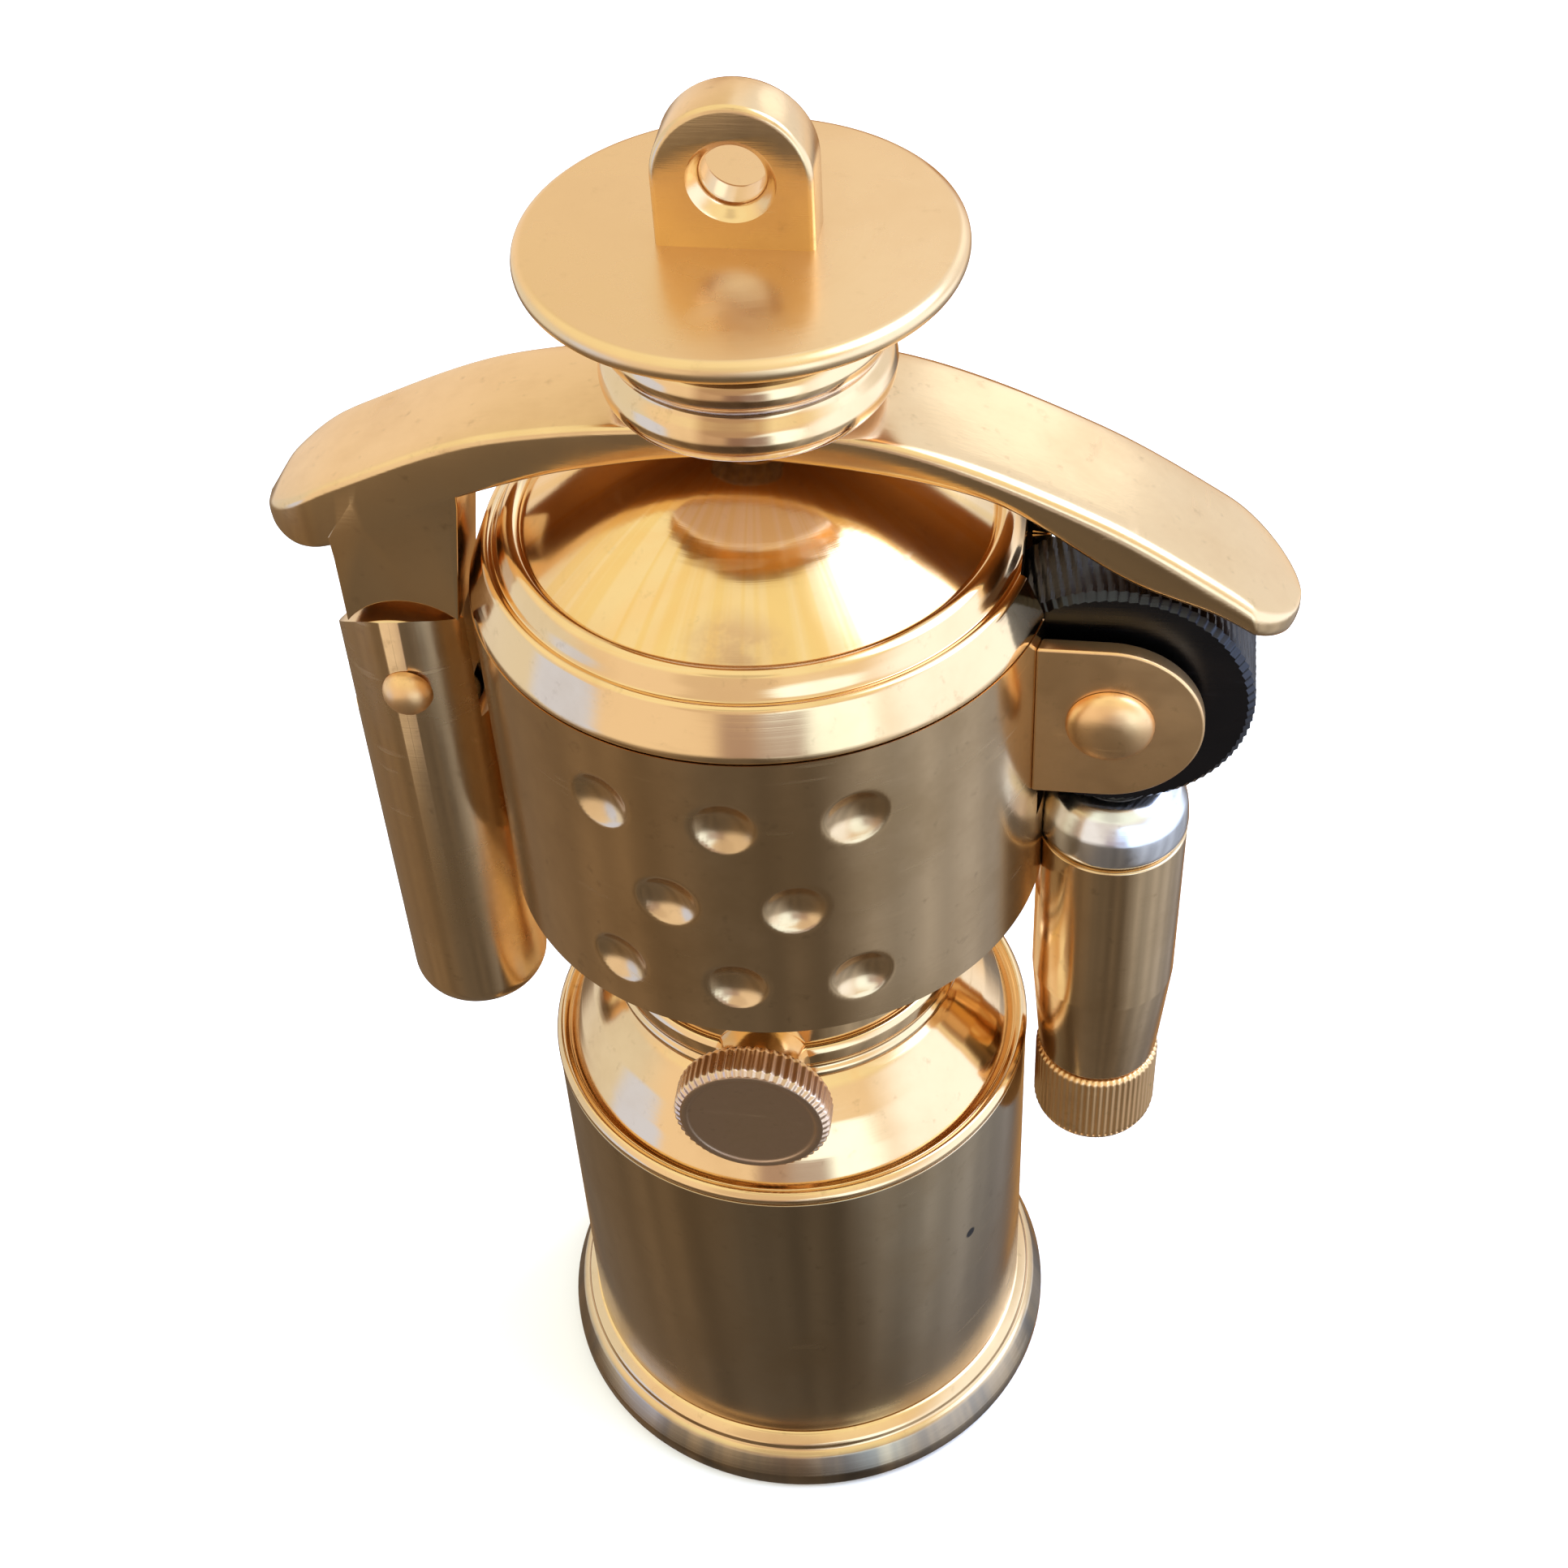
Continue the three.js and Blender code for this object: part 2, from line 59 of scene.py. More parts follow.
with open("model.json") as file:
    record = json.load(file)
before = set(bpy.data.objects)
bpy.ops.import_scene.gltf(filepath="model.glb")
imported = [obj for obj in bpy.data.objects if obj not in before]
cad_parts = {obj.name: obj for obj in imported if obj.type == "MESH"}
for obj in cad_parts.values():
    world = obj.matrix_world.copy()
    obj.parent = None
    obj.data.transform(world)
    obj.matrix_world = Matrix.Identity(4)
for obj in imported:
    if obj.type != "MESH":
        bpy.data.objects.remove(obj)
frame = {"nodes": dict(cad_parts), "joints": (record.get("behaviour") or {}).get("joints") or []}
cad_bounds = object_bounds()
joints = {joint["name"]: joint for joint in frame["joints"]}


# ---------- mesh helpers ----------


def edges(node):
    """Lowest and highest corner of a CAD node, in millimetres."""
    low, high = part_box(node)
    return low / MM, high / MM


def middle_of(node):
    """Middle of a CAD node's box, in millimetres."""
    low, high = edges(node)
    return low.lerp(high, 0.5)


def corner(before, point, after, radius, steps=4):
    """Points that round off one corner, within less than half of the edge on each side."""
    here = Vector(point)
    back, on = Vector(before) - here, Vector(after) - here
    start = here + back.normalized() * min(radius, 0.45 * back.length)
    end = here + on.normalized() * min(radius, 0.45 * on.length)
    out = []
    for k in range(steps + 1):
        t = k / steps
        out.append(tuple(start.lerp(here, t).lerp(here.lerp(end, t), t)))
    return out


def soften(points, radius, steps=4):
    """Rounds the corners of an outline; the ends on the turning axis stay as they are."""
    out = []
    closed = points[0][0] != 0
    for i, point in enumerate(points):
        if closed or i not in (0, len(points) - 1):
            out += corner(points[i - 1], point, points[(i + 1) % len(points)], radius, steps)
        else:
            out.append(point)
    return out


def oblong(inner, outer, low, high):
    """Corners of an upright rectangle, as the outline of a ring, a disc or a flat piece."""
    return [(inner, low), (outer, low), (outer, high), (inner, high)]


def backward(outline):
    """The same outline with its heights the other way round."""
    return [(radius, -height) for radius, height in outline]


def knurl(count, depth, from_r, from_z=-math.inf):
    """A ripple for lathe(): ridges cut into what lies beyond a radius and above a height."""

    def ripple(turn, radius, height):
        if radius < from_r or height < from_z:
            return 0
        return -depth * (0.5 - 0.5 * math.cos(count * turn))

    return ripple


def shade(data, angle=CREASE):
    """Smooth shading with creases where faces meet at more than the angle."""
    data.shade_smooth()
    data.set_sharp_from_angle(angle=math.radians(angle))


def to_object(name, mesh, place=None, angle=CREASE):
    """Turns a bmesh in millimetres into a linked object in metres."""
    bmesh.ops.recalc_face_normals(mesh, faces=mesh.faces)
    if place is not None:
        mesh.transform(place)
    mesh.transform(Matrix.Scale(MM, 4))
    data = bpy.data.meshes.new(name)
    mesh.to_mesh(data)
    mesh.free()
    shade(data, angle)
    piece = bpy.data.objects.new(name, data)
    bpy.context.scene.collection.objects.link(piece)
    return piece


def lathe(name, profile, segments=160, place=None, ripple=None, angle=CREASE):
    """Turns an outline of (radius, height) points about Z.

    ripple(angle, radius, height) gives how far a point moves out.
    """
    mesh = bmesh.new()
    rings = []
    for radius, height in profile:
        if radius == 0:
            rings.append([mesh.verts.new((0, 0, height))])
            continue
        ring = []
        for i in range(segments):
            turn = 2 * math.pi * i / segments
            reach = radius + (ripple(turn, radius, height) if ripple else 0)
            ring.append(mesh.verts.new((reach * math.cos(turn), reach * math.sin(turn), height)))
        rings.append(ring)
    followers = rings[1:] if profile[0][0] == 0 else rings[1:] + rings[:1]
    for ring, other in zip(rings, followers):
        for i in range(segments):
            j = (i + 1) % segments
            sides = [(ring, i), (ring, j), (other, j), (other, i)]
            corners = [loop[k % len(loop)] for loop, k in sides]
            mesh.faces.new(list(dict.fromkeys(corners)))
    return to_object(name, mesh, place, angle)


def skin(name, rings, angle=CREASE):
    """A closed skin over a run of rings that have equally many points."""
    mesh = bmesh.new()
    rings = [[mesh.verts.new(point) for point in ring] for ring in rings]
    for ring, other in zip(rings, rings[1:]):
        for i in range(len(ring)):
            j = (i + 1) % len(ring)
            mesh.faces.new([ring[i], ring[j], other[j], other[i]])
    mesh.faces.new(rings[0])
    mesh.faces.new(rings[-1])
    return to_object(name, mesh, angle=angle)


def slab(name, outline, y0, y1):
    """A flat piece: an outline of (x, z) points, filled between y0 and y1."""
    mesh = bmesh.new()
    front = mesh.faces.new([mesh.verts.new((x, y0, z)) for x, z in outline])
    grown = bmesh.ops.extrude_face_region(mesh, geom=[front])
    back = [item for item in grown["geom"] if isinstance(item, bmesh.types.BMVert)]
    bmesh.ops.translate(mesh, verts=back, vec=(0, y1 - y0, 0))
    return to_object(name, mesh)


def apply_modifiers(piece):
    """Keeps what the modifiers make as the piece's own mesh."""
    graph = bpy.context.evaluated_depsgraph_get()
    made = bpy.data.meshes.new_from_object(piece.evaluated_get(graph))
    piece.modifiers.clear()
    piece.data = made


def combine(piece, tool, operation="DIFFERENCE"):
    """Cuts the tool from the piece, or joins it on; the tool is used up."""
    modifier = piece.modifiers.new("combine", "BOOLEAN")
    modifier.operation = operation
    modifier.solver = "EXACT"
    modifier.object = tool
    apply_modifiers(piece)
    bpy.data.objects.remove(tool)


def bevel(piece, width, segments=3, angle=CREASE):
    """Rounds every edge that is sharper than the angle."""
    modifier = piece.modifiers.new("round", "BEVEL")
    modifier.width = width * MM
    modifier.segments = segments
    modifier.limit_method = "ANGLE"
    modifier.angle_limit = math.radians(angle)
    apply_modifiers(piece)
    shade(piece.data, angle=50)


def arc(x, z, radius, start, end, steps):
    """Points on a circle in the XZ plane, angles in degrees from +X."""
    turns = [math.radians(start + (end - start) * i / steps) for i in range(steps + 1)]
    return [(x + radius * math.cos(a), z + radius * math.sin(a)) for a in turns]


def curve_at(points, x):
    """Height at x of a smooth curve through points whose x goes up."""
    for i in range(len(points) - 1):
        if x <= points[i + 1][0] or i == len(points) - 2:
            break
    (x0, z0), (x1, z1) = points[i], points[i + 1]

    def slope(k):
        a, b = points[max(k - 1, 0)], points[min(k + 1, len(points) - 1)]
        return (b[1] - a[1]) / (b[0] - a[0])

    run = x1 - x0
    t = min(max((x - x0) / run, 0), 1)
    return (
        (2 * t**3 - 3 * t**2 + 1) * z0
        + (t**3 - 2 * t**2 + t) * run * slope(i)
        + (3 * t**2 - 2 * t**3) * z1
        + (t**3 - t**2) * run * slope(i + 1)
    )


def at(x=0, y=0, z=0):
    return Matrix.Translation((x, y, z))


def along_y(x, y, z):
    """Turns a lathe's Z axis to point along -Y, with its zero at the point."""
    return at(x, y, z) @ Matrix.Rotation(math.radians(90), 4, "X")


def hold(piece, body, material, node):
    """Puts a finished piece on its body, with its finish, in place of a CAD node."""
    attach(piece, body)
    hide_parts(node)
    piece.data.materials.clear()
    piece.data.materials.append(material)


# ---------- material helpers ----------


class Net:
    """Short names for the nodes that the materials share."""

    def __init__(self, tree):
        self.tree = tree
        self.tree.nodes.clear()

    def node(self, kind, **settings):
        made = self.tree.nodes.new(kind)
        for key, value in settings.items():
            setattr(made, key, value)
        return made

    def feed(self, socket, value):
        """Links another node's output to a socket, or sets the socket's own value."""
        if isinstance(value, bpy.types.NodeSocket):
            self.tree.links.new(value, socket)
        elif isinstance(value, (tuple, list)) and len(socket.default_value) == 4:
            socket.default_value = (*value[:3], 1)
        else:
            socket.default_value = value

    def math(self, operation, a, b=0.0):
        made = self.node("ShaderNodeMath", operation=operation)
        self.feed(made.inputs[0], a)
        self.feed(made.inputs[1], b)
        return made.outputs[0]

    def product(self, *factors):
        made = factors[0]
        for factor in factors[1:]:
            made = self.math("MULTIPLY", made, factor)
        return made

    def smooth(self, value, start, end, low=0.0, high=1.0):
        """A soft step: low where value is at start, high where it is at end."""
        made = self.node("ShaderNodeMapRange", interpolation_type="SMOOTHSTEP")
        for socket, number in zip(made.inputs, (value, start, end, low, high)):
            self.feed(socket, number)
        return made.outputs[0]

    def mix(self, factor, a, b, blend="MIX"):
        made = self.node("ShaderNodeMix", data_type="RGBA", blend_type=blend)
        # The Mix node has sockets for each kind of data: these are the ones for colours.
        self.feed(made.inputs[0], factor)
        self.feed(made.inputs[6], a)
        self.feed(made.inputs[7], b)
        return made.outputs[2]

    def noise(self, vector, scale, detail=3.0, roughness=0.5):
        made = self.node("ShaderNodeTexNoise")
        self.feed(made.inputs["Vector"], vector)
        made.inputs["Scale"].default_value = scale
        made.inputs["Detail"].default_value = detail
        made.inputs["Roughness"].default_value = roughness
        return made.outputs["Fac"]

    def stretched(self, vector, scale):
        made = self.node("ShaderNodeMapping")
        self.feed(made.inputs["Vector"], vector)
        made.inputs["Scale"].default_value = scale
        return made.outputs[0]

    def flat(self, vector):
        """The vector with its height taken out."""
        return self.stretched(vector, (1, 1, 0))

    def bump(self, height, strength, distance, normal=None):
        made = self.node("ShaderNodeBump")
        made.inputs["Strength"].default_value = strength
        made.inputs["Distance"].default_value = distance
        self.feed(made.inputs["Height"], height)
        if normal is not None:
            self.feed(made.inputs["Normal"], normal)
        return made.outputs[0]

    def place(self):
        return self.node("ShaderNodeTexCoord").outputs["Object"]

    def turned(self, centre_x):
        """Coordinates that only change with the distance from a vertical axis and with height."""
        x, y, z = self.parts(self.place())
        across = self.node("ShaderNodeCombineXYZ")
        self.feed(across.inputs[0], self.math("SUBTRACT", x, centre_x))
        self.feed(across.inputs[1], y)
        joined = self.node("ShaderNodeCombineXYZ")
        self.feed(joined.inputs[0], self.length(across.outputs[0]))
        self.feed(joined.inputs[2], z)
        return joined.outputs[0]

    def unit(self, vector):
        made = self.node("ShaderNodeVectorMath", operation="NORMALIZE")
        self.feed(made.inputs[0], vector)
        return made.outputs["Vector"]

    def length(self, vector):
        made = self.node("ShaderNodeVectorMath", operation="LENGTH")
        self.feed(made.inputs[0], vector)
        return made.outputs["Value"]

    def away(self, vector, point):
        """How far a vector is from a point."""
        made = self.node("ShaderNodeVectorMath", operation="DISTANCE")
        self.feed(made.inputs[0], vector)
        made.inputs[1].default_value = point
        return made.outputs["Value"]

    def parts(self, vector):
        made = self.node("ShaderNodeSeparateXYZ")
        self.feed(made.inputs[0], vector)
        return made.outputs

    def surface(self, shader):
        self.tree.links.new(shader.outputs[0], self.node("ShaderNodeOutputMaterial").inputs[0])


def new_material(name):
    material = bpy.data.materials.new(name)
    material.use_nodes = True
    return material, Net(material.node_tree)


FINE_ROUGH, SCRATCH_ROUGH = 0.05, 0.08  # roughness that the fine grain and the scratches add
MOST_DIRT = 0.35
DIRT_SHADE = 0.6  # of the tarnish's colour
DRAWN_OUT = (0.05, 1, 1)  # scale of the tool marks that run along X
SCRATCHED = (0.35, 0.35, 3.2)  # scale of the scratches, which lie level


def metal(
    name, colour, tarnish, gloss, grain="turned", centre_x=0.0,
    patch=0.5, groove=0.12, fan=0.0, pits=0.05, mark=None,
):
    """A worn metal: tarnish in soft patches, uneven gloss, fine tool marks and small pits.

    gloss is the roughness of the clean metal, and patch is how strong the tarnish gets. grain is
    the way of the tool marks: turned about an upright axis at centre_x, or drawn along X. groove
    and pits are the strengths of the marks and the pits. fan is the strength of shallow waves that
    run out from the Z axis like the ribs of a fan, or down a wall. mark is a function that adds
    the piece's own marks to the colour, roughness and metal: solder, a pit, painted reflections and
    painted shade.
    """
    material, net = new_material(name)
    shader = net.node("ShaderNodeBsdfPrincipled")
    shader.inputs["Metallic"].default_value = 1
    place = net.place()
    cloud = net.noise(place, scale=170, detail=5, roughness=0.6)
    fine = net.noise(place, scale=1500, detail=4, roughness=0.65)
    stain_and_painted_reflection = net.smooth(cloud, 0.42, 0.72, high=patch)
    dirt = net.smooth(fine, 0.58, 0.8, high=min(MOST_DIRT, patch))
    tint = net.mix(stain_and_painted_reflection, colour, tarnish)
    tint = net.mix(dirt, tint, tuple(DIRT_SHADE * c for c in tarnish))
    marks_at = net.turned(centre_x) if grain == "turned" else net.stretched(place, DRAWN_OUT)
    marks = net.noise(marks_at, scale=5200, detail=3, roughness=0.7)
    lines = net.noise(net.stretched(place, SCRATCHED), scale=900, detail=2, roughness=0.4)
    scratches = net.smooth(lines, 0.66, 0.74)
    uneven = net.smooth(cloud, 0.3, 0.75, low=gloss * 0.8, high=gloss * 1.5)
    rough = net.math("ADD", uneven, net.product(fine, FINE_ROUGH))
    rough = net.math("ADD", rough, net.product(scratches, SCRATCH_ROUGH))
    if mark:
        tint, rough = mark(net, shader, tint, rough)
    waves = net.noise(place, scale=260, detail=2, roughness=0.5)
    normal = net.bump(waves, strength=0.10, distance=0.0002)
    if fan:
        flat = net.flat(place)
        spread = net.noise(net.unit(flat), scale=3.2, detail=1.5, roughness=0.5)
        ribs = net.product(spread, net.length(flat))
        normal = net.bump(ribs, strength=fan, distance=0.067, normal=normal)
    normal = net.bump(marks, strength=groove, distance=0.00002, normal=normal)
    clean = net.math("SUBTRACT", 1.0, dirt)
    normal = net.bump(clean, strength=pits, distance=0.00003, normal=normal)
    net.feed(shader.inputs["Base Color"], tint)
    net.feed(shader.inputs["Roughness"], rough)
    net.feed(shader.inputs["Normal"], normal)
    net.surface(shader)
    return material


def looks_down(net, start, end):
    """1 where the surface faces down more steeply than end, 0 above start."""
    return net.smooth(net.parts(net.node("ShaderNodeTexCoord").outputs["Normal"])[2], start, end)


def solder_and_front_reflection(net, shader, tint, rough):
    """Dull grey solder below, and a painted brown reflection down the front."""
    down = looks_down(net, -0.5, -0.8)
    net.feed(shader.inputs["Metallic"], net.smooth(down, 0, 1, low=1, high=0.1))
    # Painted reflection: a brown streak down the front, where a dark shape in front shows in the
    # gloss.
    x, y, _ = net.parts(net.place())
    aside = net.math("ABSOLUTE", net.math("SUBTRACT", x, FRONT_X))
    stain_and_painted_reflection = net.product(net.smooth(aside, 0.0014, 0.0008), net.smooth(y, -0.003, -0.004, high=0.7))
    tint = net.mix(stain_and_painted_reflection, tint, NECK_REFLECTION_BROWN)
    tint = net.mix(looks_down(net, -0.1, -0.4), tint, SOLDER_GREY)
    return tint, net.math("ADD", rough, net.product(down, 0.4))


def painted_shade_below(net, shader, tint, rough):
    """Painted brown shade on the underside, where it faces down."""
    # Painted shade: browner and duller where the surface faces down.
    down = looks_down(net, -0.5, -0.8)
    tint = net.mix(down, tint, UNDERSIDE_SHADE_BROWN)
    return tint, net.math("ADD", rough, net.product(down, 0.35))


def reflection_rays(net, shader, tint, rough):
    """Painted reflection streaks out from the middle, and a painted dark reflection by the front.
    """
    place = net.place()
    # Painted reflection streaks: brown rays that change with the angle about the middle.
    spread = net.noise(net.unit(net.flat(place)), scale=11, detail=2, roughness=0.6)
    tint = net.mix(net.smooth(spread, 0.45, 0.6, high=0.6), tint, RAY_REFLECTION_BROWN)
    # Painted reflection of a dark shape in front, near the dome's front edge.
    near = net.smooth(net.away(net.stretched(place, DARK_REFLECTION_SHAPE), DARK_REFLECTION_AT), 0.0013, 0.0003)
    mottle = net.noise(place, scale=900, detail=3, roughness=0.6)
    dark_reflection = net.product(near, net.smooth(mottle, 0.35, 0.6, low=0.3, high=0.8))
    return net.mix(dark_reflection, tint, DARK_REFLECTION_BROWN), rough


def dark_foot_reflection(net, shader, tint, rough):
    """Painted dark reflection of the ground, in patches on the low bevel of the foot."""
    place = net.place()
    low = net.smooth(net.parts(place)[2], 0.0022, 0.0019)
    spread = net.noise(net.unit(net.flat(place)), scale=4, detail=3, roughness=0.6)
    # Painted dark reflection, in patches, along the low bevel.
    foot_reflection = net.product(low, net.smooth(spread, 0.35, 0.62, low=1, high=0.6))
    tint = net.mix(foot_reflection, tint, FOOT_REFLECTION_DARK)
    return tint, net.math("ADD", rough, net.product(foot_reflection, 0.08))


def pitted(net, shader, tint, rough):
    """One small black pit on the tank's right."""
    near = net.smooth(net.away(net.place(), PIT_AT), 0.00032, 0.00020)
    return net.mix(near, tint, PIT_BLACK), rough


def soft(name, colour, shadow, scale, stretch=(1, 1, 1), roughness=0.9, relief=0.0001):
    """A matt material with a fibre or grain pattern."""
    material, net = new_material(name)
    grain = net.noise(net.stretched(net.place(), stretch), scale, detail=4, roughness=0.7)
    shader = net.node("ShaderNodeBsdfPrincipled")
    net.feed(shader.inputs["Base Color"], net.mix(net.smooth(grain, 0.35, 0.65), shadow, colour))
    rough = net.smooth(grain, 0.3, 0.7, low=roughness, high=roughness * 0.85)
    net.feed(shader.inputs["Roughness"], rough)
    net.feed(shader.inputs["Normal"], net.bump(grain, strength=0.6, distance=relief))
    net.surface(shader)
    return material


# ---------- materials ----------

GOLD, BRONZE = (0.83, 0.57, 0.29), (0.60, 0.36, 0.15)
SATIN, UMBER = (0.78, 0.55, 0.30), (0.5, 0.32, 0.14)
SATIN_TANK = (0.52, 0.39, 0.23)
SATIN_PLUG = (0.74, 0.52, 0.34)
SATIN_FLAT, FLAT_TARNISH = (0.95, 0.60, 0.28), (0.6, 0.34, 0.13)
EARTH = (0.42, 0.28, 0.13)
NICKEL, NICKEL_TARNISH = (0.86, 0.85, 0.83), (0.55, 0.5, 0.44)
BLUED, BLUED_TARNISH = (0.050, 0.052, 0.058), (0.045, 0.032, 0.024)
WIRE, WIRE_TARNISH = (0.45, 0.45, 0.46), (0.3, 0.26, 0.22)
SOLDER_GREY = (0.88, 0.78, 0.78)
# Painted reflection down the front of the neck.
NECK_REFLECTION_BROWN = (0.42, 0.22, 0.10)
# Painted shade under the arm and the tab.
UNDERSIDE_SHADE_BROWN = (0.56, 0.30, 0.11)
# Painted reflection streaks on the dome.
RAY_REFLECTION_BROWN = (0.80, 0.50, 0.17)
# Painted dark reflection near the dome's front edge.
DARK_REFLECTION_BROWN = (0.60, 0.36, 0.20)
# Painted dark reflection on the foot's low bevel.
FOOT_REFLECTION_DARK = (0.25, 0.205, 0.15)
PIT_BLACK = (0.02, 0.015, 0.01)

AXIS_LEFT = middle_of("snap_plunger").x * MM
AXIS_RIGHT = middle_of("flint").x * MM
FRONT_X = 0.0002  # the painted reflections on the neck and the dome are a little to the right of the middle
# Where the painted dark reflection on the dome lies, and how it is stretched.
DARK_REFLECTION_AT, DARK_REFLECTION_SHAPE = (FRONT_X, -0.0078, 0), (0.55, 1, 0)
TANK_R = edges("tank_shell")[1].x
PIT_TURN, PIT_HEIGHT = math.radians(55), 13.5
PIT_AT = Vector((math.sin(PIT_TURN), -math.cos(PIT_TURN), 0)) * TANK_R * MM
PIT_AT += Vector((0, 0, PIT_HEIGHT)) * MM

polished = metal("polished_brass_turned", GOLD, BRONZE, 0.09, patch=0.35)
polished_foot = metal("polished_brass_foot", GOLD, BRONZE, 0.10, patch=0.4, mark=dark_foot_reflection)
polished_dome = metal(
    "polished_brass_dome", GOLD, BRONZE, 0.12, patch=0.25, fan=0.15, pits=0.04, mark=reflection_rays
)
polished_cap = metal("polished_brass_cap", GOLD, BRONZE, 0.24, patch=0.12, pits=0.04)
polished_neck = metal("polished_brass_neck", GOLD, BRONZE, 0.10, patch=0.35, mark=solder_and_front_reflection)
polished_arm = metal(
    "polished_brass_drawn", GOLD, BRONZE, 0.17, "drawn", patch=0.35, groove=0.2, mark=painted_shade_below
)
satin = metal("satin_brass_turned", SATIN, UMBER, 0.15, fan=0.05)
satin_tank = metal("satin_brass_tank", SATIN_TANK, EARTH, 0.15, fan=0.05, mark=pitted)
satin_left = metal("satin_brass_left", SATIN, UMBER, 0.19, centre_x=AXIS_LEFT)
satin_right = metal("satin_brass_right", SATIN, UMBER, 0.14, centre_x=AXIS_RIGHT)
satin_flat = metal("satin_brass_flat", SATIN_FLAT, FLAT_TARNISH, 0.32, "drawn")
satin_plug = metal("satin_brass_plug", SATIN_PLUG, EARTH, 0.26, "drawn")
nickel = metal("bright_nickel", NICKEL, NICKEL_TARNISH, 0.16, centre_x=AXIS_RIGHT)
steel = metal("blued_steel", BLUED, BLUED_TARNISH, 0.26, "drawn", groove=0.3)
spring_steel = metal("spring_steel", WIRE, WIRE_TARNISH, 0.25)
flint_grey = soft("flint_grey", (0.24, 0.23, 0.21), (0.12, 0.11, 0.10), 2600)
cotton = soft("cotton", (0.86, 0.81, 0.70), (0.62, 0.55, 0.42), 1400, (1, 1, 0.35))
old_rubber = soft(
    "old_rubber", (0.21, 0.115, 0.055), (0.11, 0.055, 0.025), 2200, roughness=0.7, relief=0.00004
)
rubber = soft(
    "black_rubber", (0.045, 0.040, 0.036), (0.02, 0.018, 0.016), 2200, roughness=0.7, relief=0.00004
)


# ---------- tank ----------


def build_tank():
    foot = edges("foot_ring")[1]
    low, high = edges("tank_shell")
    r, wall, foot_inner = TANK_R, 0.6, foot.x - 1.9
    outline = [
        (foot_inner, 0), (foot.x - 0.25, 0), (foot.x, 0.35), (foot.x, 0.95), (foot.x - 0.42, 2.02),
        (foot.x - 0.7, 2.2), (foot.x - 0.76, 2.5), (r + 0.05, foot.z - 0.05), (r - 0.7, foot.z),
        (foot_inner, foot.z),
    ]
    moulding = lathe("foot_moulding", soften(outline, 0.12))
    hold(moulding, "lamp", polished_foot, "foot_ring")
    disc = edges("base_disc")[1]
    base = lathe("base_plate", soften(oblong(0, disc.x, 0, disc.z), 0.1))
    hold(base, "lamp", satin, "base_disc")
    shell = lathe("tank_wall", soften(oblong(r - wall, r, low.z, high.z), 0.05))
    hold(shell, "lamp", satin_tank, "tank_shell")

    shoulder_low, shoulder = edges("tank_shoulder")
    lip, top = shoulder_low.z, shoulder.z
    neck_r = edges("drum_dome")[1].x * 0.82
    outer = [
        (r, lip), (r + 0.05, lip + 0.3), (r - 0.2, lip + 0.6), (r - 0.4, lip + 0.5),
        (r - 0.53, lip + 0.25), (r - 0.65, lip + 0.5), (8.9, lip + 1.45), (8.2, lip + 2.65),
        (7.3, lip + 3.85), (neck_r, lip + 4.25), (neck_r, top),
    ]
    inner = [(neck_r - wall, top), (neck_r - wall, lip + 4), (7.4, lip + 2.5), (8.6, lip)]
    cone = lathe("tank_shoulder_cone", soften(outer + inner, 0.14))
    hold(cone, "lamp", polished, "tank_shoulder")

    collar_low, collar = edges("neck_collar")
    c, z0 = collar.x, collar_low.z
    outline = [
        (neck_r, z0), (c - 0.15, z0), (c, z0 + 0.2), (c, z0 + 0.5), (c - 0.18, z0 + 0.7),
        (c - 0.05, z0 + 1), (c - 0.05, z0 + 1.6), (c - 0.2, collar.z - 0.05), (neck_r, collar.z),
    ]
    ring = lathe("neck_ring", soften(outline, 0.1))
    hold(ring, "lamp", polished, "neck_collar")


# ---------- drum ----------

DENT_BALL = 1.75
DENT_DEPTH = 0.42
DENT_EDGE = 0.03  # how far a dent's rim is rounded off
DENT_PITCH = math.radians(25.2)
DENT_MIDDLE, DENT_GAP = 38.35, 4.07  # height of the middle row, and from row to row
DENT_ROWS = [
    (DENT_MIDDLE + DENT_GAP, (-1, 0, 1)),
    (DENT_MIDDLE, (-0.5, 0.5)),
    (DENT_MIDDLE - DENT_GAP, (-1, 0, 1)),
]
DENTS = [(step * DENT_PITCH, height) for height, steps in DENT_ROWS for step in steps]
OPENING_HALF, OPENING_LOW = 2.3, 35.8  # the opening for the wheel
DRUM_WALL = 0.7


def dent_at(turn, height, r):
    """Depth of the punched dents at an angle from -Y and a height."""
    depth, least = 0, 0.004
    for centre, level in DENTS:
        away = math.hypot((turn - centre) * r, height - level)
        if away < DENT_BALL:
            bowl = math.sqrt(DENT_BALL**2 - away**2) - (DENT_BALL - DENT_DEPTH)
            depth = max(depth, 0.5 * (bowl + math.hypot(bowl, DENT_EDGE)))
    return depth if depth > least else 0


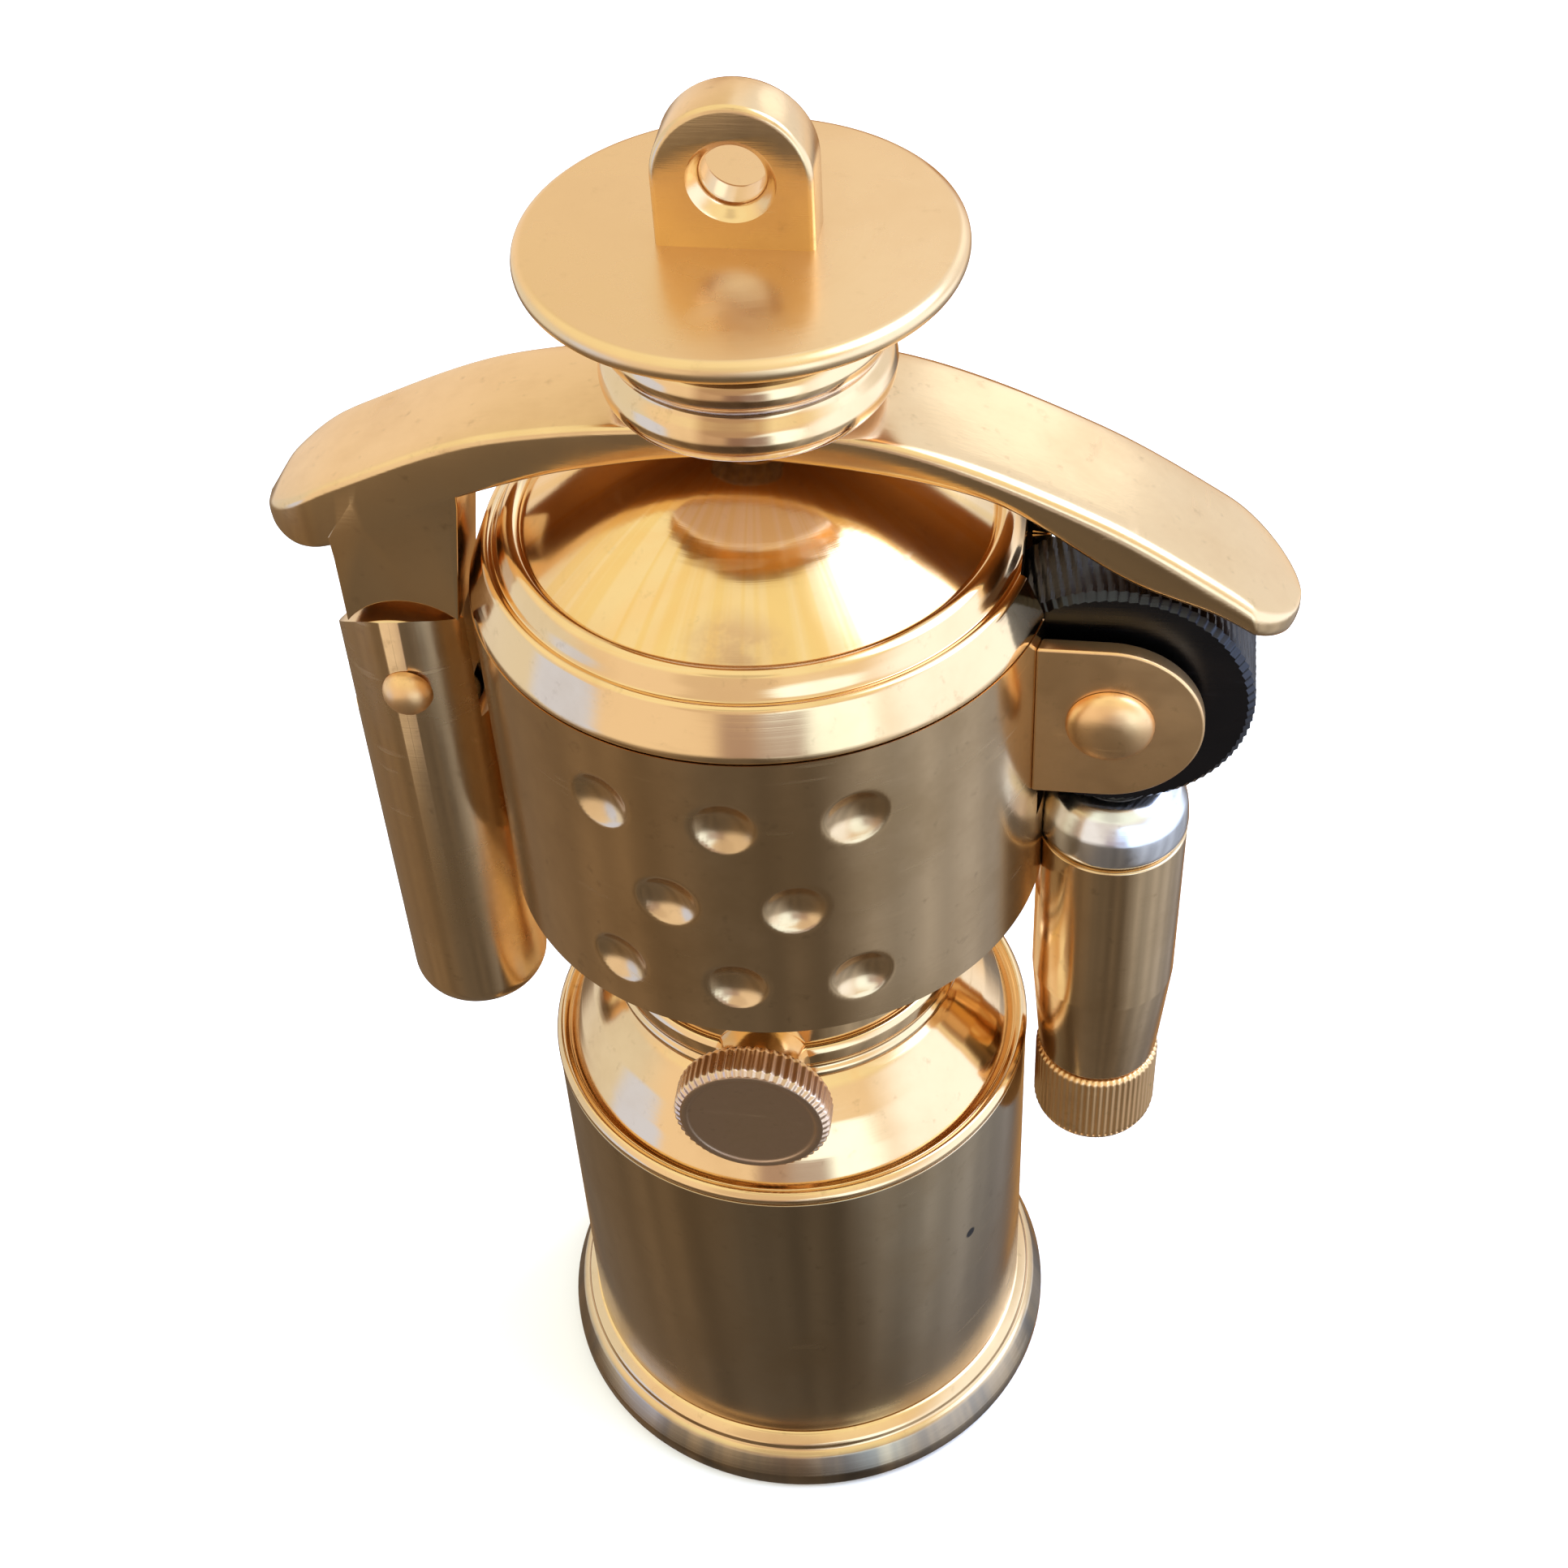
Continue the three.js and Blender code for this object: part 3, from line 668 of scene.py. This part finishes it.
def build_drum_wall():
    """The drum's wall as a fine grid: eight punched dents, and an opening for the wheel."""
    low, high = edges("drum_shell")
    r, columns, rows = high.x, 480, 110
    reach = math.asin(OPENING_HALF / r)
    mesh = bmesh.new()
    grid = []
    for row in range(rows + 1):
        height = low.z + (high.z - low.z) * row / rows
        ring = []
        for column in range(columns):
            turn = 2 * math.pi * column / columns
            radius = r - dent_at((turn + math.pi) % (2 * math.pi) - math.pi, height, r)
            ring.append(mesh.verts.new((radius * math.sin(turn), -radius * math.cos(turn), height)))
        grid.append(ring)
    for row in range(rows):
        middle = low.z + (high.z - low.z) * (row + 0.5) / rows
        below, above = grid[row], grid[row + 1]
        for column in range(columns):
            turn = 2 * math.pi * (column + 0.5) / columns
            if middle > OPENING_LOW and abs(turn - math.pi / 2) < reach:
                continue
            after = (column + 1) % columns
            mesh.faces.new([below[column], below[after], above[after], above[column]])
    loose = [vert for vert in mesh.verts if not vert.link_faces]
    bmesh.ops.delete(mesh, geom=loose, context="VERTS")
    piece = to_object("drum_wall", mesh)
    thicken = piece.modifiers.new("wall", "SOLIDIFY")
    thicken.thickness = DRUM_WALL * MM
    thicken.offset = -1
    apply_modifiers(piece)
    shade(piece.data, angle=40)
    hold(piece, "lamp", satin, "drum_shell")


def build_drum_top():
    low, high = edges("drum_rim")
    r, z0, z1 = high.y, low.z, high.z
    outline = [
        (r - 1.97, z0), (r, z0), (r - 0.06, z0 + 0.3), (r - 0.57, z1 - 1.1), (r - 0.66, z1 - 0.88),
        (r - 0.84, z1 - 0.8), (r - 0.96, z1 - 0.85), (r - 1.03, z1 - 0.9), (r - 1.1, z1 - 0.82),
        (r - 1.27, z1 - 0.45), (r - 1.47, z1 - 0.12), (r - 1.67, z1), (r - 1.87, z1),
        (r - 2.09, z1 - 0.18), (r - 2.09, z1 - 0.5),
    ]
    rim = lathe("drum_top_rim", soften(outline, 0.1), segments=240)
    combine(rim, slab("notch", oblong(9.3, 12, z0 - 1, z1 + 1), -OPENING_HALF, OPENING_HALF))
    shade(rim.data, angle=40)
    hold(rim, "lamp", polished, "drum_rim")

    dome_low, dome = edges("drum_dome")
    edge_z, rise, edge_r = dome_low.z + DRUM_WALL, dome.z - dome_low.z - DRUM_WALL, dome.x
    hole_r, steps = edges("wick_tube")[1].x + 0.08, 28
    radii = [hole_r + (edge_r - hole_r) * i / steps for i in range(steps + 1)]
    over = [(q, edge_z + rise * (1 - (q / edge_r) ** 2)) for q in reversed(radii)]
    under = [(q, z - DRUM_WALL) for q, z in reversed(over)]
    dome_piece = lathe("drum_top_dome", over + under, segments=200)
    hold(dome_piece, "lamp", polished_dome, "drum_dome")

    floor_low, floor = edges("drum_floor")
    outline = oblong(hole_r, floor.x, floor_low.z, floor.z)
    hold(lathe("drum_bottom", soften(outline, 0.1)), "lamp", satin, "drum_floor")


def build_wick():
    low, high = edges("wick_tube")
    r, bore, edge = high.x, 1.05, 0.1
    outline = [(bore, low.z), (r, low.z), (r, high.z - edge), (r - edge, high.z), (bore, high.z)]
    sleeve = lathe("wick_sleeve", outline, 64)
    hold(sleeve, "lamp", satin_flat, "wick_tube")
    low, high = edges("wick")

    count, depth, twist, core_r = 7, 0.05, 2.2, 0.4

    def strands(turn, radius, height):
        return depth * math.cos(count * turn + twist * height) - depth if radius > core_r else 0

    steps = 120
    side = [(high.x, low.z + (high.z - 0.15 - low.z) * i / steps) for i in range(steps + 1)]
    outline = [(0, low.z), *side, (high.x - 0.25, high.z), (0, high.z)]
    rope = lathe("wick_rope", outline, 56, ripple=strands, angle=60)
    hold(rope, "lamp", cotton, "wick")


# ---------- hinge tube ----------


def rivet(name, node, shank, head_r, head_h):
    """A pin along Y with a low domed head at each end."""
    low, high = edges(node)
    x, z = (low.x + high.x) / 2, (low.z + high.z) / 2
    reach = high.y - head_h
    turns = [math.radians(9 * i) for i in range(10)]
    dome = [(head_r * math.cos(a), head_h * math.sin(a)) for a in turns]
    upper = [(q, reach + h) for q, h in dome]
    lower = [(q, -reach - h) for q, h in reversed(dome)]
    outline = [(0, lower[0][1]), *lower[1:], (shank, -reach), (shank, reach), *upper[:-1]]
    outline.append((0, upper[-1][1]))
    pin = lathe(name, outline, 72, along_y(x, 0, z))
    hold(pin, "lamp", satin_flat, node)


def build_hinge_tube():
    low, high = edges("spring_tube")
    x, r = (low.x + high.x) / 2, (high.x - low.x) / 2
    hinge = Vector(joints["arm_lift"]["pos_m"]) / MM
    cut_z = hinge.z + 6
    outer = [
        (0, low.z), (r - 0.75, low.z), (r - 0.25, low.z + 0.2), (r, low.z + 0.75), (r, cut_z),
        (0, cut_z),
    ]
    tube = lathe("hinge_tube", soften(outer, 0.3, 6), 128, at(x))
    knuckle_r, spare = high.z - hinge.z, 0.3
    side = math.degrees(math.acos((high.x + spare - hinge.x) / knuckle_r))
    left, right, foot_z = low.x - spare, high.x + spare, low.z - 1
    outline = arc(hinge.x, hinge.z, knuckle_r, side, 180, 48)
    outline += [(left, hinge.z), (left, foot_z), (right, foot_z)]
    knuckle = slab("knuckle", outline, -r - 0.03, r + 0.03)
    bevel(knuckle, 0.9, segments=8, angle=50)
    combine(tube, knuckle, "INTERSECT")
    bore_low = edges("plunger_spring")[0].z - 0.1
    combine(tube, lathe("bore", oblong(0, 2.15, bore_low, hinge.z + 0.5), 96, at(x)))
    opening = oblong(hinge.x - 5, hinge.x + 2.4, hinge.z - 2.4, cut_z)
    combine(tube, slab("tongue_slot", opening, -1.45, 1.45))
    bevel(tube, 0.22, segments=4, angle=40)
    hold(tube, "lamp", satin_left, "spring_tube")
    rivet("hinge_rivet", "hinge_pin", shank=0.6, head_r=0.95, head_h=0.8)

    low, high = edges("snap_plunger")
    r = (high.x - low.x) / 2
    outline = [(0, low.z), (r, low.z), (r, high.z - 0.5), (r - 0.5, high.z), (0, high.z)]
    plunger = lathe("plunger", soften(outline, 0.25), 96, at(x))
    hold(plunger, "plunger", nickel, "snap_plunger")


def build_plunger_spring():
    """The coil spring under the plunger."""
    low, high = edges("plunger_spring")
    length, centre_x = high.z - low.z, middle_of("plunger_spring").x
    wire, coil_r, turns, around, steps = 0.27, 1.6, 6, 12, 240
    up = Vector((0, 0, 1))
    rings = []
    for k in range(steps + 1):
        turn = 2 * math.pi * turns * k / steps
        out = Vector((math.cos(turn), math.sin(turn), 0))
        middle = out * coil_r + up * (low.z + wire + (length - 2 * wire) * k / steps)
        middle.x += centre_x
        ring = arc(0, 0, wire, 0, 360, around)[:-1]
        rings.append([middle + out * across + up * rise for across, rise in ring])
    spring = skin("plunger_coil", rings)
    hold(spring, "lamp", spring_steel, "plunger_spring")
    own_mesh(spring)


# ---------- flint wheel side ----------


def cope(piece):
    """Cuts away what would stand in the drum."""
    clearance, low = 0.005, 30
    r, top = edges("drum_shell")[1].y + clearance, edges("drum_rim")[1].z
    combine(piece, lathe("drum_side", oblong(0, r, low, top), 240))


def build_wheel():
    low, high = edges("flint_wheel")
    x, z, r, half = (low.x + high.x) / 2, (low.z + high.z) / 2, (high.x - low.x) / 2, high.y
    teeth, depth, slant, tooth_r, run_in = 84, 0.1, 0.45, 0.7, 0.5
    ramp, steep = 0.8, 4  # a tooth falls away over most of its width, and rises steeply again

    def serration(turn, radius, height):
        if radius < r - tooth_r:
            return 0
        phase = teeth * turn / (2 * math.pi) + slant * height
        saw = phase - math.floor(phase)
        share = min(1, (radius - r + tooth_r) / run_in)
        return -depth * share * (saw if saw < ramp else (1 - saw) * steep)

    hole, rows = 0.85, 10
    tread = [(r, -half + 0.25 + (2 * half - 0.5) * i / rows) for i in range(rows + 1)]
    outline = [
        (hole, -half + 0.1), (1.9, -half + 0.1), (2.0, -half), (r - 0.6, -half), (r - 0.25, -half),
        *tread,
        (r - 0.25, half), (r - 0.6, half), (2.0, half), (1.9, half - 0.1), (hole, half - 0.1),
    ]
    wheel = lathe("striker_wheel", outline, teeth * 8, along_y(x, 0, z), serration, angle=30)
    hold(wheel, "striker", steel, "flint_wheel")
    rivet("wheel_rivet", "wheel_axle", shank=0.8, head_r=1.57, head_h=0.75)


def build_brackets():
    low, high = edges("front_bracket")
    z, r, left = (low.z + high.z) / 2, (high.z - low.z) / 2, 9.7
    outline = [(left, low.z), *arc(high.x - r, z, r, -90, 90, 48), (left, high.z)]
    for name, node, y0, y1 in [
        ("ear_front", "front_bracket", low.y, high.y),
        ("ear_rear", "rear_bracket", -high.y, -low.y),
    ]:
        ear = slab(name, outline, y0, y1)
        cope(ear)
        bevel(ear, 0.24, segments=5, angle=50)
        hold(ear, "lamp", satin_flat, node)


def build_flint_tube():
    low, high = edges("flint_tube")
    tube_low, x = low.z, AXIS_RIGHT / MM
    r = high.x - x
    bore = edges("flint")[1].x - x + 0.15
    outer = [(bore, low.z), (r - 0.4, low.z), (r, low.z + 4.9), (r, high.z), (bore, high.z)]
    tube = lathe("flint_tube_wall", soften(outer, 0.08), 144, at(x))
    cope(tube)
    shade(tube.data, angle=40)
    hold(tube, "lamp", satin_right, "flint_tube")

    low, high = edges("flint_ferrule")
    r = high.x - x
    outline = [
        (bore, low.z), (r - 0.2, low.z), (r, low.z + 0.3), (r - 0.02, low.z + 0.8),
        (r - 0.1, high.z - 1.2), (r - 0.45, high.z - 0.4), (r - 0.95, high.z), (bore, high.z),
    ]
    ferrule = lathe("tube_ferrule", soften(outline, 0.2), 144, at(x))
    cope(ferrule)
    shade(ferrule.data, angle=40)
    hold(ferrule, "lamp", nickel, "flint_ferrule")

    low, high = edges("flint_screw")
    r, head_top, shank, ridges = (high.x - low.x) / 2, tube_low - 0.2, 1.3, 60
    outline = [
        (0, low.z), (r - 0.5, low.z), (r - 0.22, low.z + 0.12), (r - 0.1, low.z + 0.35),
        (r, low.z + 0.6), (r, head_top - 0.15), (r - 0.15, head_top), (shank, head_top),
        (shank, high.z), (0, high.z),
    ]
    ripple = knurl(ridges, 0.06, from_r=r - 0.3, from_z=low.z + 0.45)
    screw = lathe("knurled_screw", soften(outline, 0.12), ridges * 8, at(x), ripple)
    hold(screw, "screw", satin_flat, "flint_screw")

    low, high = edges("flint")
    outline = oblong(0, (high.x - low.x) / 2, low.z, high.z)
    stone = lathe("flint_stone", soften(outline, 0.15), 64, at(x))
    hold(stone, "lamp", flint_grey, "flint")


# ---------- filler plug ----------


def build_plug():
    low, high = edges("filler_plug")
    z, r, length = (low.z + high.z) / 2, high.x, high.y - low.y
    ridges, thick, shank, hole = 54, 1.5, 1.2, 1.26
    outline = [
        (0, 0.06), (r - 0.62, 0.06), (r - 0.5, 0), (r - 0.3, 0), (r - 0.02, 0.2), (r, 0.35),
        (r, thick - 0.3), (r - 0.2, thick), (shank, thick), (shank, length), (0, length),
    ]
    ripple = knurl(ridges, 0.1, from_r=r - 0.25)
    outline = soften(backward(outline), 0.07)
    plug = lathe("knurled_plug", outline, ridges * 8, along_y(0, low.y, z), ripple, angle=45)
    hold(plug, "plug", satin_plug, "filler_plug")

    low, high = edges("plug_washer")
    outline = soften(backward(oblong(hole, high.x, 0, high.y - low.y)), 0.12)
    washer = lathe("plug_seal", outline, 72, along_y(0, low.y, z))
    hold(washer, "plug_carriage", rubber, "plug_washer")

    low, high = edges("filler_boss")
    neck_y = -6.7
    outline = soften(backward(oblong(hole, high.x, 0, neck_y - low.y)), 0.12)
    boss = lathe("plug_boss", outline, 72, along_y(0, low.y, z))
    hold(boss, "lamp", polished, "filler_boss")


# ---------- lever ----------


def build_arm():
    """The bowed arm as a run of rounded sections, with its leg and hinge tongue joined on."""
    low, high = edges("lever_arm")
    left, right, crest = low.x, high.x, high.z
    upper = [
        (left, 47.6), (-17.0, 48.4), (-14.4, 50.0), (-8.5, 52.4), (0, crest), (5.5, 52.8),
        (11.7, 50.3), (16.5, 47.3), (right, 45.35),
    ]
    lower = [
        (left, 47.4), (-17.2, 47.08), (-16.0, 46.9), (-14.6, 47.2), (-12, 48.5), (-9.9, 49.6),
        (-5.5, 51.1), (0, 51.9), (8, 50.7), (13, 47.45), (16, 46.15), (18.4, 44.85), (right, 45.1),
    ]
    wide_left, wide_right, tip_r = 2.5, 2.8, 3.2
    c_left, c_right, c_tip = left + wide_left, right - wide_right, right - tip_r

    def chord(radius, away):
        """Half the width of a round end, which never closes to nothing."""
        return math.sqrt(max(radius**2 - away**2, 0.0004))

    def half_width(x, front=True):
        """The right end is rounded off at the back, and has a corner at the front."""
        if x < c_left:
            return chord(wide_left, x - c_left)
        if x > c_right and not front:
            return chord(wide_right, x - c_right)
        wide = wide_left + (wide_right - wide_left) * (x - c_left) / (c_right - c_left)
        if x > c_tip:
            wide = min(wide, wide_right, chord(tip_r, x - c_tip))
        return wide

    ends, body = 26, 110
    stations = [c_left - wide_left * math.cos(math.pi / 2 * i / ends) for i in range(ends)]
    stations += [c_left + (c_right - c_left) * i / body for i in range(body)]
    stations += [c_right + wide_right * math.sin(math.pi / 2 * i / ends) for i in range(ends + 1)]
    rings = []
    crown, thinnest = 0.1, 0.05
    edge_r, edge_growth, grows_from = 0.3, 0.03, 4  # the edges are rounder towards the right end
    for x in stations:
        front, back = -half_width(x), half_width(x, front=False)
        top, bottom = curve_at(upper, x) - crown, curve_at(lower, x)
        bottom = min(bottom, top - thinnest)
        radius = edge_r + edge_growth * max(x - grows_from, 0)
        radius = min(radius, 0.5 * (top - bottom), 0.6 * back)
        outline = [(front, bottom), (back, bottom), (back, top)]
        for i in range(1, 6):
            t = i / 6
            outline.append((back + (front - back) * t, top + crown * (1 - (2 * t - 1) ** 2)))
        outline.append((front, top))
        section = []
        for k, point in enumerate(outline):
            if k in (0, 1, 2, len(outline) - 1):
                section += corner(outline[k - 1], point, outline[(k + 1) % len(outline)], radius)
            else:
                section.append(point)
        rings.append([(x, y, z) for y, z in section])
    arm = skin("bowed_arm", rings, angle=60)

    hinge = Vector(joints["arm_lift"]["pos_m"]) / MM
    arch_x, arch_z, arch_r = hinge.x + 0.35, hinge.z + 1.35, 2.75
    leg_left, leg_right, leg_back = -14.85, -10.7, 0.4
    start = math.degrees(math.acos((leg_right - arch_x) / arch_r))
    end = math.degrees(math.acos((leg_left - arch_x) / arch_r))
    outline = [(-9.95, 50.4), (-10.0, 49.2), *arc(arch_x, arch_z, arch_r, start, end, 30)]
    outline += [(leg_left, 46.6), (leg_left - 0.05, 47.6), (leg_left + 1, 49.2)]
    leg = slab("leg", outline, -half_width(-12.5) + 0.01, leg_back)
    bevel(leg, 0.14, angle=30)
    combine(arm, leg, "UNION")
    tongue_half, tongue_side, lug_r, lug_open = 1.2, 1.75, 2.15, 36
    outline = arc(hinge.x, hinge.z, lug_r, 180 + lug_open, 360 - lug_open, 30)
    outline += [(hinge.x + tongue_side, hinge.z + 4.5), (hinge.x - tongue_side, hinge.z + 4.5)]
    tongue = slab("tongue", outline, -tongue_half, tongue_half)
    combine(tongue, lathe("pin_hole", oblong(0, 0.65, -4, 4), 48, along_y(hinge.x, 0, hinge.z)))
    combine(arm, tongue, "UNION")
    shade(arm.data, angle=38)
    hold(arm, "lever", polished_arm, "lever_arm")


def build_cap():
    low, high = edges("cap_neck")
    r, top, spigot = high.x, high.z, 2.3
    base = edges("lever_arm")[1].z + 0.15
    outline = [
        (0, low.z), (spigot, low.z), (spigot, base), (r - 0.3, base), (r - 0.06, base + 0.35),
        (r, base + 0.75), (r - 0.12, base + 1.2), (r - 0.42, base + 1.6), (r - 0.42, base + 1.75),
        (r - 0.17, base + 2.05), (r - 0.1, base + 2.4), (r - 0.2, base + 2.8),
        (r - 0.55, base + 3.2), (r - 0.75, base + 3.5), (r - 0.75, base + 4.25), (r - 0.5, top),
        (0, top),
    ]
    neck = lathe("stepped_neck", soften(outline, 0.14))
    hold(neck, "lever", polished_neck, "cap_neck")

    low, high = edges("cap_disc")
    r = high.x
    outline = [
        (0, low.z), (r - 0.45, low.z), (r - 0.1, low.z + 0.15), (r, low.z + 0.4),
        (r - 0.06, high.z - 0.17), (r - 0.3, high.z), (0, high.z),
    ]
    plate = lathe("cap_plate", soften(outline, 0.12), 200)
    hold(plate, "lever", polished_cap, "cap_disc")

    low, high = edges("bail_tab")
    half, foot, face = high.x, low.z - 0.4, high.y
    centre = high.z - half
    outline = [(-half, foot), (half, foot), *arc(0, centre, half, 0, 180, 56)]
    tab = slab("arched_tab", outline, low.y, face)
    eye_r, sink = 1.0, 0.45
    eye = [
        (0, -4), (eye_r + 4 * sink, -4), (eye_r + sink, -face), (eye_r, -face + sink),
        (eye_r, face - sink), (eye_r + sink, face), (eye_r + 4 * sink, 4), (0, 4),
    ]
    bevel(tab, 0.22, segments=4, angle=40)
    combine(tab, lathe("eye", soften(eye, 0.2, 6), 96, along_y(0, 0, centre)))
    shade(tab.data, angle=50)
    hold(tab, "lever", polished_arm, "bail_tab")

    low, high = edges("snuffer_pad")
    pad = lathe("snuffer", soften(oblong(0, high.x, low.z, high.z), 0.12), 72)
    hold(pad, "lever", old_rubber, "snuffer_pad")


def finish_inner_nodes():
    """The CAD nodes that stay as they are, inside the object."""
    for node, material in [("cotton_wadding", cotton), ("flint_spring", spring_steel)]:
        data = frame["nodes"][node].data
        data.materials.clear()
        data.materials.append(material)


# ---------- floor, light and camera ----------

FLOOR_HALF = 1.6
FLOOR_TONES = (0.90, 0.90, 0.90), (0.93, 0.93, 0.93)

TABLE, TABLE_LEFT, TABLE_RIGHT = (0.15, 0.13, 0.115), (0.22, 0.165, 0.115), (0.50, 0.54, 0.64)
WALLS = (1.05, 0.97, 0.90)
CEILING, CEILING_WARM = (1.15, 1.2, 1.0), (1.15, 0.95, 0.6)
BACK_LEFT, BACK_RIGHT = (0.91, 0.84, 0.70), (1.12, 1.19, 1.36)
BROWN_BACK = (0.50, 0.27, 0.10)
DIM_FRONT = (0.42, 0.33, 0.38)
WHITE = (1, 1, 1)

# Direction, cosine of the angle from it where the patch begins and where it is full, share, colour.
PATCHES = [
    ((-1.0, 0.1, -0.2), 0.70, 0.93, 1.0, (0.90, 0.98, 1.1)),  # pale wall on the left
    ((-0.89, -0.38, -0.22), 0.955, 0.985, 1.0, (0.8, 1.05, 1.9)),  # blue spot on the left
    ((0.45, -0.88, -0.10), 0.90, 0.96, 1.0, (1.5, 2.0, 2.8)),  # window in front to the right
    ((1.0, 0.0, -0.15), 0.60, 0.90, 1.0, (1.4, 1.7, 2.4)),  # cool wall on the right
    ((0.60, 0.62, 0.45), 0.75, 0.93, 1.0, (1.0, 1.12, 1.4)),  # cool wall behind to the right
    ((0.66, 0.13, 0.74), 0.87, 0.970, 1.0, (3.0, 3.7, 5.8)),  # bright window high on the right
    ((0.37, 0.845, 0.375), 0.97, 0.99, 1.0, (1.5, 1.7, 2.1)),  # small window behind
    ((-0.05, -0.62, 0.78), 0.970, 0.988, 0.5, (0.5, 0.40, 0.34)),  # dim spot high in front
    ((-0.10, -0.92, 0.30), 0.92, 0.97, 0.7, (0.78, 0.68, 0.60)),  # dim patch in front
]

# Name, offset from the middle of the object, width, power and colour.
LIGHTS = [
    ("key_light", (0.28, 0.22, 0.26), 0.22, 1.6, (1.0, 0.99, 0.98)),
    ("fill_light", (-0.30, -0.20, 0.34), 0.30, 1.2, (0.98, 0.99, 1.0)),
]

CAMERA_AT = (0.012293, -0.065912, 0.101285)
CAMERA_AIM = (-0.12655, 0.69533, -0.70746)
CAMERA_ROLL = math.radians(-3.643)
LENS, SENSOR = 56.09, 36


def build_stage():
    mesh = bmesh.new()
    bmesh.ops.create_grid(mesh, x_segments=8, y_segments=8, size=FLOOR_HALF / MM)
    floor = to_object("floor", mesh)
    material, net = new_material("pale_floor")
    shader = net.node("ShaderNodeBsdfPrincipled")
    mottle = net.noise(net.place(), scale=60, detail=3, roughness=0.5)
    net.feed(shader.inputs["Base Color"], net.mix(mottle, *FLOOR_TONES))
    shader.inputs["Roughness"].default_value = 0.9
    net.surface(shader)
    floor.data.materials.append(material)
    floor.visible_glossy = False


def build_world():
    """A soft room: pale walls and ceiling, a dark table below, and the patches.

    It lights the object and is seen in its gloss. The camera sees plain white behind the object.
    """
    world = bpy.data.worlds.new("studio")
    bpy.context.scene.world = world
    world.use_nodes = True
    net = Net(world.node_tree)
    direction = net.node("ShaderNodeTexCoord").outputs["Generated"]
    x, y, z = net.parts(direction)
    folds = net.noise(net.unit(net.flat(direction)), scale=5, detail=3, roughness=0.6)

    def toward(aim, start, end):
        dot = net.node("ShaderNodeVectorMath", operation="DOT_PRODUCT")
        net.feed(dot.inputs[0], direction)
        dot.inputs[1].default_value = Vector(aim).normalized()
        return net.smooth(dot.outputs["Value"], start, end)

    table = net.mix(net.smooth(x, -0.15, -0.6), TABLE, TABLE_LEFT)
    table = net.mix(net.smooth(x, 0.25, 0.75), table, TABLE_RIGHT)
    table = net.mix(1.0, table, net.smooth(folds, 0.3, 0.7, low=0.7, high=1.3), "MULTIPLY")

    horizon = net.math("ADD", z, net.product(net.math("ABSOLUTE", x), 0.25))
    tone = net.mix(net.smooth(horizon, -0.32, -0.06), table, WALLS)
    ceiling = net.mix(net.product(net.smooth(folds, 0.5, 0.6), 0.4), CEILING, CEILING_WARM)
    back = net.mix(net.smooth(x, -0.17, -0.06), BACK_LEFT, BACK_RIGHT)
    above = net.mix(net.smooth(y, 0.30, 0.65), ceiling, back)
    tone = net.mix(net.smooth(z, 0.25, 0.75), tone, above)
    aside = net.smooth(net.math("ABSOLUTE", x), 0.42, 0.22)
    behind = net.product(aside, net.smooth(z, 0.34, 0.2), net.smooth(y, 0.3, 0.6))
    tone = net.mix(behind, tone, BROWN_BACK)

    over_table = net.smooth(horizon, -0.32, -0.12)
    for aim, start, end, share, colour in PATCHES:
        tone = net.mix(net.product(toward(aim, start, end), share, over_table), tone, colour)
    sideways = net.math("ABSOLUTE", net.math("SUBTRACT", x, 0.12))
    front = net.product(
        net.smooth(y, -0.6, -0.8), net.smooth(z, 0.08, -0.02),
        net.smooth(sideways, 0.33, 0.2, high=0.85), over_table,
    )
    tone = net.mix(front, tone, DIM_FRONT)
    tone = net.mix(net.node("ShaderNodeLightPath").outputs["Is Camera Ray"], tone, WHITE)
    background = net.node("ShaderNodeBackground")
    net.feed(background.inputs["Color"], tone)
    background.inputs["Strength"].default_value = 1
    net.tree.links.new(background.outputs[0], net.node("ShaderNodeOutputWorld").inputs[0])


def build_lights():
    middle = (cad_bounds[0] + cad_bounds[1]) / 2
    for name, offset, width, power, colour in LIGHTS:
        data = bpy.data.lights.new(name, "AREA")
        data.shape = "DISK"
        data.size = width
        data.energy = power
        data.color = colour
        light = bpy.data.objects.new(name, data)
        bpy.context.scene.collection.objects.link(light)
        place = middle + Vector(offset)
        light.location = place
        light.rotation_euler = (middle - place).to_track_quat("-Z", "Y").to_euler()
        light.visible_glossy = False


def build_camera():
    data = bpy.data.cameras.new("camera")
    data.sensor_width = SENSOR
    data.lens = LENS
    data.clip_start = 0.001
    camera = bpy.data.objects.new("camera", data)
    bpy.context.scene.collection.objects.link(camera)
    forward = Vector(CAMERA_AIM).normalized()
    level = forward.cross(Vector((0, 0, 1))).normalized()
    upward = level.cross(forward)
    across = level * math.cos(CAMERA_ROLL) + upward * math.sin(CAMERA_ROLL)
    up = upward * math.cos(CAMERA_ROLL) - level * math.sin(CAMERA_ROLL)
    turn = Matrix((across, up, -forward)).transposed()
    camera.matrix_world = Matrix.Translation(CAMERA_AT) @ turn.to_4x4()
    bpy.context.scene.camera = camera


build_camera()
build_tank()
build_drum_wall()
build_drum_top()
build_wick()
build_hinge_tube()
build_wheel()
build_brackets()
build_flint_tube()
build_plug()
build_arm()
build_cap()
build_plunger_spring()
finish_inner_nodes()
build_stage()
build_world()
build_lights()
bpy.context.scene.view_settings.view_transform = "Standard"
